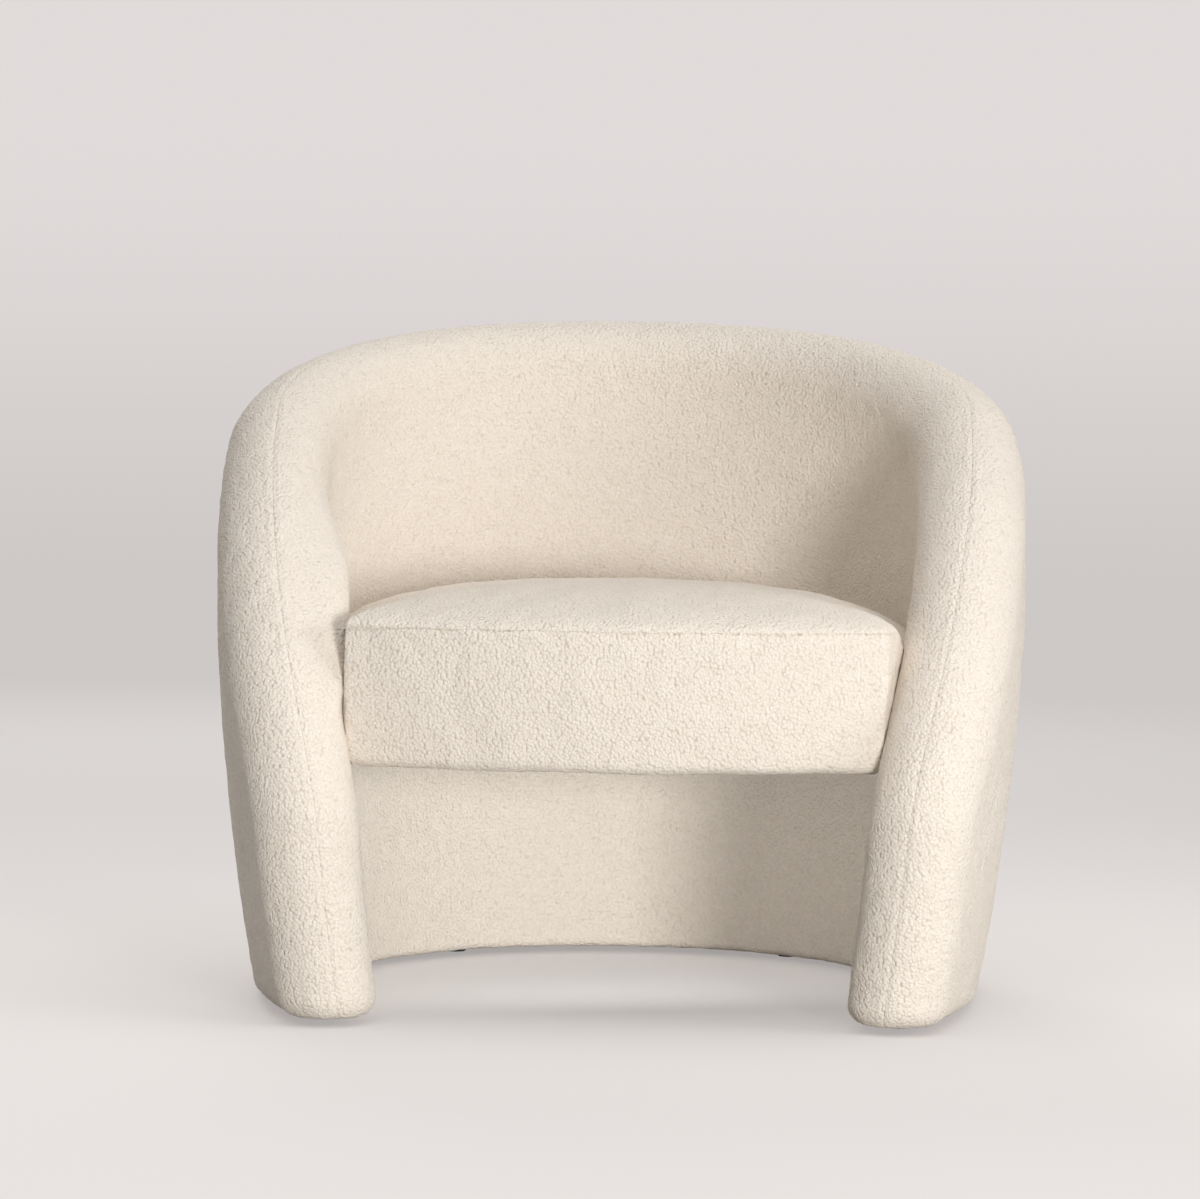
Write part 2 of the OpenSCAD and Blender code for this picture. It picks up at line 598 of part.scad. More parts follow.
module seat_deck() {
    color("burlywood") difference() {
        translate([0, 0, deck_z]) linear_extrude(ply_t)
            polygon(flat(seat_ring(deck_z, deck_in, deck_in)));
        translate([0, 0, deck_z - over]) linear_extrude(ply_t + 2 * over)
            polygon(web_ring(0));
        for (s = bolt_shares) seat_bolt_place(s) {
            translate([0, 0, deck_z - over]) cylinder(h = ply_t + 2 * over, r = bolt_r + clear);
            translate([0, 0, deck_top - nut_h - clear]) cylinder(h = nut_h + over, r = nut_r + clear / 2);
            translate([0, 0, deck_top - nut_flange_t - clear])
                cylinder(h = nut_flange_t + over, r = nut_flange_r + clear);
        }
        for (s = rail_screw_shares) rail_screw_place(s) screw_hole(screw_l);
    }
}

// The rail stops short of the band's corners, and the dust cloth's front edge with it
module front_rail() {
    color("wheat") difference() {
        translate([0, 0, rail_z]) linear_extrude(deck_z - clear - rail_z) polygon(concat(
            [for (k = [1 : bow_steps - 1])
                let(p = seat_front(k / bow_steps, deck_z, deck_in, deck_in)) [p.x, p.y]],
            [for (k = [bow_steps - 1 : -1 : 1])
                let(p = seat_front(k / bow_steps, deck_z, deck_in, deck_in + rail_t)) [p.x, p.y]]));
        for (s = rail_screw_shares) rail_screw_place(s)
            cylinder(h = screw_l + clear, r = screw_r + clear / 2);
    }
}

module seat_front_pad() {
    low = seat_bottom_z + turn_r + fabric_t;
    front = fabric_t + 2 * clear;
    back = deck_in - clear;
    color("whitesmoke") translate([0, 0, low]) linear_extrude(strap_top - low) polygon(concat(
        [for (k = [0 : bow_steps]) let(p = seat_front(k / bow_steps, deck_z, deck_in, front)) [p.x, p.y]],
        [for (k = [bow_steps : -1 : 0])
            let(p = seat_front(k / bow_steps, deck_z, deck_in, back)) [p.x, p.y]]));
}

// Straps are cut to the form of the opening, and held on the wood beyond it
module strap_cut(z) {
    translate([0, 0, z - over]) linear_extrude(strap_t + 2 * over) polygon(web_ring(strap_hold));
}

module long_straps() {
    pitch = strap_w + strap_gap;
    count = floor(2 * web_corner.x / pitch);
    color("dimgray") intersection() {
        strap_cut(deck_top);
        for (k = [0 : count - 1]) translate([(k - (count - 1) / 2) * pitch - strap_w / 2, -chair_d / 2, deck_top])
            cube([strap_w, chair_d, strap_t]);
    }
}

module cross_straps() {
    pitch = strap_w + strap_gap;
    count = floor((web_back_y - web_corner.y) / pitch);
    color("dimgray") intersection() {
        strap_cut(deck_top + strap_t);
        for (k = [0 : count - 1])
            translate([-chair_w / 2, web_y + (k - (count - 1) / 2) * pitch - strap_w / 2, deck_top + strap_t])
            cube([chair_w, strap_w, strap_t]);
    }
}

// Dust cloths
module seat_dust_cloth() {
    low = slot_low - cloth_t;
    back = deck_in + rail_t + clear;
    color("black") translate([0, 0, low]) linear_extrude(cloth_t) polygon(flat(concat(
        [for (i = [-short_steps : short_steps]) seat_side(i, low, 0, 0)],
        [for (k = [1 : bow_steps - 1]) seat_front(k / bow_steps, deck_z, deck_in, back)])));
}

module base_dust_cloth() {
    color("black") difference() {
        translate([0, 0, cloth_z]) linear_extrude(cloth_t) polygon(hem_outline(fabric_t));
        for (s = glide_shares) glide_place(s) cylinder(h = 2 * glide_screw_l, r = screw_r + clear / 2);
    }
}

// Fastenings
glide_rim = 2;
module glides() {
    color("black") for (s = glide_shares) glide_place(s) difference() {
        rotate_extrude() polygon([
            [0, 0], [glide_r - glide_rim, 0], [glide_r, glide_rim], [glide_r, cloth_z], [0, cloth_z]]);
        translate([0, 0, -over]) cylinder(h = glide_rim + over, r = 2 * screw_r + clear);
        translate([0, 0, glide_rim]) screw_hole(cloth_z);
    }
}

module glide_screws() {
    color("silver") for (s = glide_shares) glide_place(s)
        translate([0, 0, glide_rim]) wood_screw(glide_screw_l);
}

module rib_screws() {
    color("goldenrod") {
        for (t = concat([0], rib_list)) on_line(t, frame_shift, hem_z) wood_screw(screw_l);
        for (side = [-1, 1]) on_line(side * post_turn, frame_shift, hem_z)
            translate([0, side * post_ahead, 0]) wood_screw(screw_l);
    }
}

module seat_bolts() {
    color("silver") for (s = bolt_shares) seat_bolt_place(s) {
        translate([0, 0, ledge_z + clear]) cylinder(h = bolt_head_h, r = 1.9 * bolt_r, $fn = 6);
        translate([0, 0, ledge_z + clear]) cylinder(h = deck_top - ledge_z - 2 * clear, r = bolt_r);
    }
}

module bolt_washers() {
    color("lightgray") for (s = bolt_shares) seat_bolt_place(s)
        translate([0, 0, ledge_z + clear + bolt_head_h]) difference() {
            cylinder(h = washer_t, r = washer_r);
            translate([0, 0, -over]) cylinder(h = washer_t + 2 * over, r = bolt_r + clear / 2);
        }
}

module tee_nuts() {
    color("gray") for (s = bolt_shares) seat_bolt_place(s) difference() {
        union() {
            translate([0, 0, deck_top - nut_h]) cylinder(h = nut_h, r = nut_r);
            translate([0, 0, deck_top - nut_flange_t]) cylinder(h = nut_flange_t, r = nut_flange_r);
        }
        translate([0, 0, deck_top - nut_h - over]) cylinder(h = nut_h + 2 * over, r = bolt_r + clear / 3);
    }
}

module rail_screws() {
    color("goldenrod") for (s = rail_screw_shares) rail_screw_place(s) wood_screw(screw_l);
}

outer_cover();
inner_cover();
outer_foam(-half_steps, -split_steps);  // left_outer_foam
outer_foam(-split_steps, split_steps);  // back_outer_foam
outer_foam(split_steps, half_steps);  // right_outer_foam
inner_foam(-half_steps, -split_steps);  // left_inner_foam
inner_foam(-split_steps, split_steps);  // back_inner_foam
inner_foam(split_steps, half_steps);  // right_inner_foam
outer_board();
inner_board();
base_ring();
seat_ledge();
crest_rail();
arm_post(-1);  // left_arm_post
arm_post(1);  // right_arm_post
numbered_rib(1, 0);  // back_rib
numbered_rib(-1, 1);  // left_rib_1
numbered_rib(-1, 2);  // left_rib_2
numbered_rib(-1, 3);  // left_rib_3
numbered_rib(-1, 4);  // left_rib_4
numbered_rib(1, 1);  // right_rib_1
numbered_rib(1, 2);  // right_rib_2
numbered_rib(1, 3);  // right_rib_3
numbered_rib(1, 4);  // right_rib_4
seat_deck();
front_rail();
long_straps();
cross_straps();
seat_foam();
seat_fibre_wrap();
seat_front_pad();
seat_top_panel();
seat_border();
seat_dust_cloth();
base_dust_cloth();
glides();
glide_screws();
rib_screws();
seat_bolts();
bolt_washers();
tee_nuts();
rail_screws();
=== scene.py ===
import math

import bpy
import numpy as np
from mathutils import Matrix, Vector, noise


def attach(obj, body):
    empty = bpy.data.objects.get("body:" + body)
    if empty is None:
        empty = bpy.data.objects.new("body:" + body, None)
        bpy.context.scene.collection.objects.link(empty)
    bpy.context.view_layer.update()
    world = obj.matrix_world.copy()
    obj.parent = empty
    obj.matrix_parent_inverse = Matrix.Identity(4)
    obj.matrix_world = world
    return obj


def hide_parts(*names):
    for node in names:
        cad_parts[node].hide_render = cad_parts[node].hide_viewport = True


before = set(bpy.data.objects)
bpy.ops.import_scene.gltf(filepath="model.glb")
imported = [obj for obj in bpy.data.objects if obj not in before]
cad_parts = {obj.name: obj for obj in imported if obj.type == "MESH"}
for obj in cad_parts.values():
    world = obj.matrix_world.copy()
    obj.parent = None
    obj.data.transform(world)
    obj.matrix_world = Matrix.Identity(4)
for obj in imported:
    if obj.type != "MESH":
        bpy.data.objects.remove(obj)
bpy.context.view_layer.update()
print("frame loaded:", len(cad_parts), "nodes")


# A socket for use in sums; a plain number beside it is set on the new node's own input
class Term:
    def __init__(self, graph, socket):
        self.graph, self.socket = graph, socket

    def maths(self, operation, *values):
        return self.graph.add("ShaderNodeMath", values, operation=operation)

    def __add__(self, other):
        return self.maths("ADD", self, other)

    def __radd__(self, other):
        return self.maths("ADD", other, self)

    def __sub__(self, other):
        return self.maths("SUBTRACT", self, other)

    def __rsub__(self, other):
        return self.maths("SUBTRACT", other, self)

    def __mul__(self, other):
        return self.maths("MULTIPLY", self, other)

    def __rmul__(self, other):
        return self.maths("MULTIPLY", other, self)

    def __abs__(self):
        return self.maths("ABSOLUTE", self)

    def sine(self):
        return self.maths("SINE", self)

    # 0 at low, 1 at high, smooth between; low may be the larger
    def ramp(self, low, high):
        return self.graph.add("ShaderNodeMapRange", {"Value": self, "From Min": low, "From Max": high},
                              interpolation_type="SMOOTHSTEP")

    def output(self, name):
        return Term(self.graph, self.socket.node.outputs[name])


# Any node: inputs by name or in order, settings by keyword
class Graph:
    def __init__(self, owner):
        owner.use_nodes = True
        self.owner, self.tree = owner, owner.node_tree
        self.tree.nodes.clear()

    def add(self, kind, inputs=(), output=0, **settings):
        made = self.tree.nodes.new(kind)
        for name, value in settings.items():
            setattr(made, name, value)
        pairs = inputs.items() if isinstance(inputs, dict) else enumerate(inputs)
        for key, value in pairs:
            if isinstance(value, Term):
                self.tree.links.new(value.socket, made.inputs[key])
            else:
                made.inputs[key].default_value = value
        return Term(self, made.outputs[output]) if len(made.outputs) else None

    def mix(self, share, first, second):
        return self.add("ShaderNodeMix", {0: share, 6: first, 7: second}, output=2, data_type="RGBA")

    def vector(self, operation, first, second):
        return self.add("ShaderNodeVectorMath", {0: first, 1: second}, operation=operation)

    def part(self, vector, axis):
        return self.add("ShaderNodeSeparateXYZ", {"Vector": vector}, output=axis)

    def noise(self, vector, scale, detail=2.0, roughness=0.5, output=0):
        return self.add("ShaderNodeTexNoise", {"Vector": vector, "Scale": scale, "Detail": detail,
                                               "Roughness": roughness}, output=output)

    def cells(self, vector, scale, randomness=1.0):
        return self.add("ShaderNodeTexVoronoi", {"Vector": vector, "Scale": scale, "Randomness": randomness},
                        output="Distance")


def newMaterial(name, space="Object"):
    graph = Graph(bpy.data.materials.new(name))
    return graph, graph.add("ShaderNodeTexCoord", output=space)


# The material of a colour and a height, with the roughness and relief of its look
def finished(graph, look, colour, height, worn=0.0, others=()):
    relief = graph.add("ShaderNodeBump", {"Height": height, "Distance": look["relief"]})
    inputs = {"Base Color": colour, "Roughness": look["roughness"] + worn, "Normal": relief}
    inputs.update(others)
    graph.add("ShaderNodeOutputMaterial", {"Surface": graph.add("ShaderNodeBsdfPrincipled", inputs)})
    return graph.owner


# Cloth of small looped yarns: domes with painted shade in the crevices between them, fine fibres, and clumps;
# sizes in metres
boucleLook = {
    "colour": (0.877, 0.807, 0.724, 1),
    # painted shade for the crevices between the loops
    "creviceShade": (0.81, 0.73, 0.635, 1),
    "clumpTint": (0.975, 0.97, 0.96, 1),
    "loop": 0.0030,
    "bend": 0.2,  # how far the pattern is bent, in loops
    "fall": 1.3,  # how steeply a loop falls off round its middle
    "lowest": 0.55,  # height of the lowest loops beside the highest
    "fibre": 0.0009,
    "fibreShare": 0.2,
    "clump": 0.012,
    "clumpShare": 0.4,
    "relief": 0.0013,
    "roughness": 0.92,
    "sheen": 0.15,
}


def boucleMaterial(look):
    graph, place = newMaterial("boucle")
    wander = graph.noise(place, 0.6 / look["loop"], 1.0, output="Color")
    sway = graph.vector("SUBTRACT", wander, (0.5, 0.5, 0.5))
    bent = graph.vector("ADD", place, graph.vector("MULTIPLY", sway, (look["bend"] * look["loop"],) * 3))
    loops = graph.cells(bent, 1 / look["loop"])
    tone = graph.add("ShaderNodeSeparateColor", {0: loops.output("Color")})  # random for each loop
    fibres = graph.noise(bent, 1 / look["fibre"], 2.0, 0.6)
    clumps = graph.noise(place, 1 / look["clump"])
    height = ((1.0 - loops * loops * look["fall"]) * (tone * (1 - look["lowest"]) + look["lowest"])
              + fibres * look["fibreShare"] + clumps * look["clumpShare"])
    # painted shade: darker towards each loop's edge, in the crevices, shifted by each loop's random tone
    dark = (loops * 0.9 - tone * 0.3 + 0.1).ramp(0.1, 0.9)
    colour = graph.mix(dark, look["colour"], look["creviceShade"])
    tint = graph.mix(clumps.ramp(0.3, 0.75), look["clumpTint"], (1.0, 1.0, 1.0, 1))
    return finished(graph, look, graph.vector("MULTIPLY", colour, tint), height, others={
        "Sheen Weight": look["sheen"], "Sheen Roughness": 0.6, "Specular IOR Level": 0.2})


# Open-cell foam, with painted shade in its pits
foamLook = {"colour": (0.80, 0.72, 0.50, 1), "pitShade": (0.62, 0.52, 0.30, 1), "cell": 0.0016,
            "roughness": 0.95, "relief": 0.0005}


def foamMaterial(look):
    graph, place = newMaterial("foam")
    cells = graph.cells(place, 1 / look["cell"])
    # painted shade: darker towards the cells' edges, where the pits are lowest
    colour = graph.mix(cells.ramp(0.45, 0.9), look["colour"], look["pitShade"])
    return finished(graph, look, colour, 1.0 - cells, others={"Specular IOR Level": 0.2})


# Lofty white fibre
fibreLook = {"colour": (0.86, 0.86, 0.85, 1), "shade": (0.70, 0.70, 0.69, 1), "strand": 0.004,
             "roughness": 0.98, "relief": 0.0012}


def fibreMaterial(look):
    graph, place = newMaterial("fibre")
    strands = graph.noise(graph.vector("MULTIPLY", place, (1.0, 3.0, 1.0)), 1 / look["strand"], 5.0, 0.7)
    colour = graph.mix(strands.ramp(0.35, 0.7), look["shade"], look["colour"])
    return finished(graph, look, colour, strands, others={"Specular IOR Level": 0.1})


# Pressed fibreboard: brown with fine flecks
boardLook = {"colour": (0.34, 0.22, 0.12, 1), "fleck": (0.50, 0.36, 0.22, 1), "grain": 0.0012,
             "roughness": 0.75, "relief": 0.0001}


def boardMaterial(look):
    graph, place = newMaterial("board")
    flecks = graph.noise(place, 1 / look["grain"], 4.0, 0.65)
    cloud = graph.noise(place, 30.0)
    colour = graph.mix((flecks * 0.7 + cloud * 0.3).ramp(0.4, 0.65), look["colour"], look["fleck"])
    return finished(graph, look, colour, flecks, flecks * 0.1)


# Birch plywood: long grain on the flat faces, layers on the edges
plywoodLook = {"pale": (0.72, 0.54, 0.34, 1), "dark": (0.52, 0.34, 0.18, 1), "ply": 0.0018,
               "roughness": 0.62, "relief": 0.0001}


def plywoodMaterial(name, look, standing=False):
    graph, place = newMaterial(name)
    stretched = graph.vector("MULTIPLY", place, (12.0, 12.0, 1.2) if standing else (1.5, 14.0, 14.0))
    grain = graph.noise(stretched, 18.0, 4.0, 0.6)
    fine = graph.noise(stretched, 90.0)
    axis = "X" if standing else "Z"
    facing = abs(graph.part(graph.add("ShaderNodeNewGeometry", output="Normal"), axis))
    layers = (graph.part(place, axis) * (math.pi / look["ply"]) + grain * 0.8).sine().ramp(-0.2, 0.2)
    face = graph.mix((grain * 0.6 + fine * 0.4).ramp(0.35, 0.7), look["pale"], look["dark"])
    edge = graph.mix(layers, look["pale"], look["dark"])
    return finished(graph, look, graph.mix(facing.ramp(0.35, 0.6), edge, face), fine, fine * 0.15)


# Woven elastic webbing with two coloured lines
webbingLook = {"colour": (0.030, 0.028, 0.026, 1), "rib": (0.060, 0.056, 0.052, 1),
               "line": (0.16, 0.10, 0.05, 1), "thread": 0.0014, "roughness": 0.85, "relief": 0.0003}


def webbingMaterial(look):
    graph, spread = newMaterial("webbing", "UV")
    across, along = graph.part(spread, "X"), graph.part(spread, "Y")
    ribs = (along * (2 * math.pi / look["thread"])).sine() * (across * (math.pi / look["thread"])).sine()
    lines = abs(abs(across - 0.025) - 0.016).ramp(0.0016, 0.0008)
    weave = graph.mix(ribs.ramp(-0.6, 0.8), look["colour"], look["rib"])
    return finished(graph, look, graph.mix(lines, weave, look["line"]), ribs)


# Spun dust cloth: black with a faint dimpled pattern
dustLook = {"colour": (0.012, 0.012, 0.013, 1), "fleck": (0.045, 0.045, 0.048, 1), "dimple": 0.0016,
            "roughness": 0.9, "relief": 0.0002}


def dustMaterial(look):
    graph, place = newMaterial("dustCloth")
    dots = graph.cells(place, 1 / look["dimple"], randomness=0.25)
    haze = graph.noise(place, 400.0, 3.0, 0.6)
    colour = graph.mix((haze - dots * 0.3).ramp(0.3, 0.6), look["colour"], look["fleck"])
    return finished(graph, look, colour, dots)


# Moulded plastic of the glides
plasticLook = {"colour": (0.018, 0.018, 0.019, 1), "scuff": (0.06, 0.058, 0.055, 1), "roughness": 0.42,
               "relief": 0.00005}


def plasticMaterial(look):
    graph, place = newMaterial("plastic")
    wear = graph.noise(place, 900.0, 3.0, 0.6)
    scuffs = graph.noise(place, 160.0, 4.0, 0.7).ramp(0.56, 0.70)
    return finished(graph, look, graph.mix(scuffs, look["colour"], look["scuff"]), wear, wear * 0.25)


# Plated steel of the fastenings
zincLook = {"colour": (0.62, 0.63, 0.65, 1), "dull": (0.40, 0.41, 0.43, 1), "roughness": 0.28,
            "relief": 0.00002}
yellowZincLook = dict(zincLook, colour=(0.70, 0.56, 0.27, 1), dull=(0.48, 0.42, 0.30, 1))


def steelMaterial(name, look):
    graph, place = newMaterial(name)
    cloud = graph.noise(place, 260.0, 4.0, 0.6)
    fine = graph.noise(place, 2600.0)
    colour = graph.mix(cloud.ramp(0.4, 0.65), look["colour"], look["dull"])
    return finished(graph, look, colour, fine, cloud * 0.22, {"Metallic": 1.0})


boucle = boucleMaterial(boucleLook)
foam = foamMaterial(foamLook)
fibre = fibreMaterial(fibreLook)
board = boardMaterial(boardLook)
plywood = plywoodMaterial("plywood", plywoodLook)
plywoodStanding = plywoodMaterial("plywoodStanding", plywoodLook, standing=True)
webbing = webbingMaterial(webbingLook)
dustCloth = dustMaterial(dustLook)
plastic = plasticMaterial(plasticLook)
zinc = steelMaterial("zinc", zincLook)
yellowZinc = steelMaterial("yellowZinc", yellowZincLook)
print("materials made")


# The shape of the shell, the seat and the frame, in millimetres and degrees, as in the CAD model
shell = {
    "width": 820.0, "depth": 765.0, "height": 690.0, "thick": 108.0, "hem": 7.0,
    "armCurve": 632.0, "armEnd": 120.0, "shoulderTurn": 83.0, "shoulderHeight": 556.0,
    "armFrontHeight": 200.0, "bellyHeight": 400.0, "footTuck": 38.0, "topTuck": 4.0, "thinShare": 0.107,
    "tuckPower": 1.7, "crestPower": 2.2, "cornerPower": 1.5,
    "levelTop": 285.0,  # rows of points run level up to here, just above the seat's ledge,
    "levelFrom": 300.0, "levelRun": 70.0,  # where the crest is higher than this
}
seat = {
    "bottom": 246.0, "seam": 382.0, "sideSeam": 354.0, "sideBottom": 281.2, "top": 418.0, "bow": 45.0,
    "gap": 0.5, "crownPower": 3.0, "crownEdgePower": 0.6,
}
frameForm = {"shift": 8.0, "half": 22.0, "board": 3.0, "room": 0.3}
halfThick = shell["thick"] / 2
midWidth = shell["width"] / 2 - halfThick
slopeSteps, cornerSteps, seatSteps = 9, 6, 14
halfSteps = slopeSteps + cornerSteps
bothEnds = ((0, -1.0), (-1, 1.0))  # first and last in a row of points, with the way out of it


def joined(*rows, axis=0):
    return np.concatenate(rows, axis)


def sine(degrees):
    return np.sin(np.radians(degrees))


def cosine(degrees):
    return np.cos(np.radians(degrees))


def smooth(x):
    x = np.clip(x, 0, 1)
    return x * x * (3 - 2 * x)


def drawIn(z):
    return np.maximum(0, 1 - np.asarray(z, float) / shell["bellyHeight"]) ** shell["tuckPower"]


def drift(z):
    z = np.asarray(z, float)
    belly = shell["bellyHeight"]
    rise = (z - belly) / (shell["height"] - belly)
    return np.where(z < belly, -shell["footTuck"] * drawIn(z), -shell["topTuck"] * rise ** 2)


def halfAt(z):
    return halfThick * (1 - shell["thinShare"] * drawIn(z))


noseY = -shell["armCurve"] * cosine(shell["armEnd"])
endWay = midWidth * cosine(shell["armEnd"]), -shell["armCurve"] * sine(shell["armEnd"])
frontReach = (noseY + halfAt(shell["armFrontHeight"])
              - endWay[0] / math.hypot(*endWay) * drift(shell["armFrontHeight"]))
midDepth = shell["depth"] - halfThick - frontReach
middleY = (midDepth + halfThick - frontReach) / 2
crestMiddle = shell["height"] - halfThick


def planPoint(t):
    reach = np.where(np.abs(t) > 90, shell["armCurve"], midDepth)
    return midWidth * sine(t), reach * cosine(t) - middleY


def planWay(t):
    reach = np.where(np.abs(t) > 90, shell["armCurve"], midDepth)
    x, y = midWidth * cosine(t), -reach * sine(t)
    length = np.hypot(x, y)
    return x / length, y / length


# A point at turn t round the shell and height z, a distance out from the middle and along the wall
def onShell(t, z, out, ahead=0.0):
    px, py = planPoint(t)
    gx, gy = planWay(t)
    n = out + drift(z)
    return np.stack(np.broadcast_arrays(px + gx * ahead - gy * n, py + gy * ahead + gx * n, z), -1)


def columnAngle(i):
    return 90 * np.maximum(0, np.abs(i) - slopeSteps) / cornerSteps


def columnTurn(i):
    i = np.asarray(i, float)
    shoulder = shell["shoulderTurn"]
    turn = np.where(np.abs(i) <= slopeSteps, shoulder * np.abs(i) / slopeSteps,
                    shoulder + (shell["armEnd"] - shoulder) * sine(columnAngle(i)))
    return np.sign(i) * turn


def columnHeight(i):
    i = np.asarray(i, float)
    line = crestMiddle - (crestMiddle - shell["shoulderHeight"]) * (
        np.abs(columnTurn(i)) / shell["shoulderTurn"]) ** shell["crestPower"]
    low = shell["armFrontHeight"]
    return low + (line - low) * np.maximum(0, cosine(columnAngle(i))) ** shell["cornerPower"]


# The crest is a smooth curve through the CAD model's columns, by run along the wall and height
fineTurns = np.linspace(-shell["armEnd"], shell["armEnd"], 4801)
fineRuns = joined([0], np.cumsum(np.hypot(*np.diff(np.array(planPoint(fineTurns)), axis=1))))
columns = np.arange(-halfSteps, halfSteps + 1)
knots = np.stack([np.interp(columnTurn(columns), fineTurns, fineRuns), columnHeight(columns)], 1)
knotPlaces = joined([0], np.cumsum(np.hypot(*np.diff(knots, axis=0).T)))


def crestCurve(place):
    steps = np.diff(knotPlaces)
    before, after = steps[:-1, None], steps[1:, None]
    secants = np.diff(knots, axis=0) / steps[:, None]
    inner = (secants[:-1] * after + secants[1:] * before) / (before + after)
    slopes = joined([[0.0, 1.0]], inner, [[0.0, -1.0]])
    k = np.clip(np.searchsorted(knotPlaces, place, side="right") - 1, 0, len(steps) - 1)
    h, f = steps[k][:, None], ((place - knotPlaces[k]) / steps[k])[:, None]
    point = ((2 * f ** 3 - 3 * f ** 2 + 1) * knots[k] + (f ** 3 - 2 * f ** 2 + f) * h * slopes[k]
             + (3 * f ** 2 - 2 * f ** 3) * knots[k + 1] + (f ** 3 - f ** 2) * h * slopes[k + 1])
    way = ((6 * f ** 2 - 6 * f) * (knots[k] - knots[k + 1]) / h + (3 * f ** 2 - 4 * f + 1) * slopes[k]
           + (3 * f ** 2 - 2 * f) * slopes[k + 1])
    return point, way / np.linalg.norm(way, axis=1, keepdims=True)


# Its direction is blurred along the crest, and points straight up and down at the two arm fronts
fullLength = knotPlaces[-1]
finePlaces = np.linspace(0, fullLength, 2401)
finePoints, sharpWays = crestCurve(finePlaces)
blurReach, blurWidth, endRun = 60, 24.0, 40.0
blur = np.exp(-(np.arange(-blurReach, blurReach + 1) / blurWidth) ** 2)
fineWays = np.stack([np.convolve(np.pad(sharpWays[:, k], blurReach, mode="edge"), blur / blur.sum(), "valid")
                     for k in (0, 1)], 1)
nearEnd = smooth(np.minimum(finePlaces, fullLength - finePlaces) / endRun)[:, None]
upright = np.where(finePlaces < fullLength / 2, 1.0, -1.0)[:, None] * np.array([[0.0, 1.0]])
fineWays = fineWays * nearEnd + upright * (1 - nearEnd)
fineWays /= np.linalg.norm(fineWays, axis=1, keepdims=True)


# Turn and height of the crest
def crestAt(place):
    run, height = (np.interp(place, finePlaces, finePoints[:, k]) for k in (0, 1))
    return np.interp(run, fineRuns, fineTurns), height


# Which way is out of the crest: along the wall, and up
def crestLean(place):
    return -np.interp(place, finePlaces, fineWays[:, 1]), np.interp(place, finePlaces, fineWays[:, 0])


def gridFaces(rows, columns, start=0, flip=False):
    r, c = np.meshgrid(np.arange(rows - 1), np.arange(columns - 1), indexing="ij")
    a = start + r * columns + c
    quads = np.stack([a, a + 1, a + columns + 1, a + columns], -1).reshape(-1, 4)
    return quads[:, ::-1] if flip else quads


def ringFaces(rings, size, flip=False):
    r, c = np.meshgrid(np.arange(rings - 1), np.arange(size), indexing="ij")
    a, b = r * size + c, r * size + (c + 1) % size
    quads = np.stack([a, b, b + size, a + size], -1).reshape(-1, 4)
    return quads[:, ::-1] if flip else quads


# Triangles from a ring to one point, as quads with that point twice
def fanFaces(here, following, middle):
    return np.stack([here, following, np.full(len(here), middle), np.full(len(here), middle)], -1)


# Grids of points that are joined into one mesh
class Patchwork:
    def __init__(self):
        self.points, self.faces, self.count = [], [], 0

    def add(self, grid, flip):
        self.faces.append(gridFaces(grid.shape[0], grid.shape[1], self.count, flip))
        self.points.append(grid.reshape(-1, grid.shape[-1]))
        self.count += len(self.points[-1])

    def welded(self):
        points, faces = np.concatenate(self.points), np.concatenate(self.faces)
        first, back = np.unique(np.round(points, 3), axis=0, return_index=True, return_inverse=True)[1:]
        return points[first], back.reshape(-1)[faces]


def normalsOf(points, faces):
    across = points[faces[:, 2]] - points[faces[:, 0]]
    along = points[faces[:, 3]] - points[faces[:, 1]]
    flat = np.cross(across, along)
    total = np.zeros_like(points)
    for k in range(4):
        np.add.at(total, faces[:, k], flat)
    return total / np.maximum(np.linalg.norm(total, axis=1, keepdims=True), 1e-12)


# An uneven padded surface: each layer is (size of its bumps, height)
def roughened(points, faces, layers, keep=1.0):
    rise = np.zeros(len(points))
    for size, height in layers:
        rise += height * np.array([noise.noise(Vector(p)) for p in points / size])
    return points + normalsOf(points, faces) * (rise * keep)[:, None]


def areaOf(points, faces):
    a, b, c, d = (points[faces[:, k]] for k in range(4))
    halves = np.cross(b - a, c - a), np.cross(c - a, d - a)
    return 0.5 * sum(np.linalg.norm(half, axis=1) for half in halves).sum()


def newObject(name, data):
    made = bpy.data.objects.new(name, data)
    bpy.context.scene.collection.objects.link(made)
    return made


def newMesh(name, points, faces, material):
    mesh = bpy.data.meshes.new(name)
    corners = (list(dict.fromkeys(face)) for face in faces.tolist())
    mesh.from_pydata(points.tolist(), [], [face for face in corners if len(face) > 2])
    mesh.materials.append(material)
    return mesh


# A piece of the chair, from points in millimetres, in place of a CAD node
def makePiece(name, node, points, faces, material):
    mesh = newMesh(name, points * 0.001, faces, material)
    mesh.validate()
    mesh.polygons.foreach_set("use_smooth", [True] * len(mesh.polygons))
    made = newObject(name, mesh)
    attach(made, "root")
    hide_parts(node)
    return made


# The area of a sheet's flat cut, a little smaller than its stretched area; the result is not kept
def declareSheet(points, faces, stretch=1.03):
    area = areaOf(points, faces) * 1e-6 / stretch


# The two covers of the shell
coverLook = {
    "outerColumns": 520, "innerColumns": 410, "lowRows": 62, "highRows": 74,
    "outerReach": 2300.0, "innerReach": 1800.0,
    "hemRound": 10.0, "footRound": 20.0, "footFrom": 100.0, "footRun": 16.0, "flange": 15.0,
    "edge": 0.05,  # half the space between the covers at the sewn line
    "groove": 0.3, "grooveWidth": 1.3, "ridge": 0.28, "ridgeAt": 5.2, "ridgeWidth": 2.0,
    "slotLow": 260.5, "slotHigh": 281.5, "slotFront": -250.0,  # where the seat's ledge passes through
    "overlap": 0.6,  # of the filled lining and the seat
    "bumps": [(60.0, 1.0), (18.0, 0.7), (6.0, 0.6)],
}


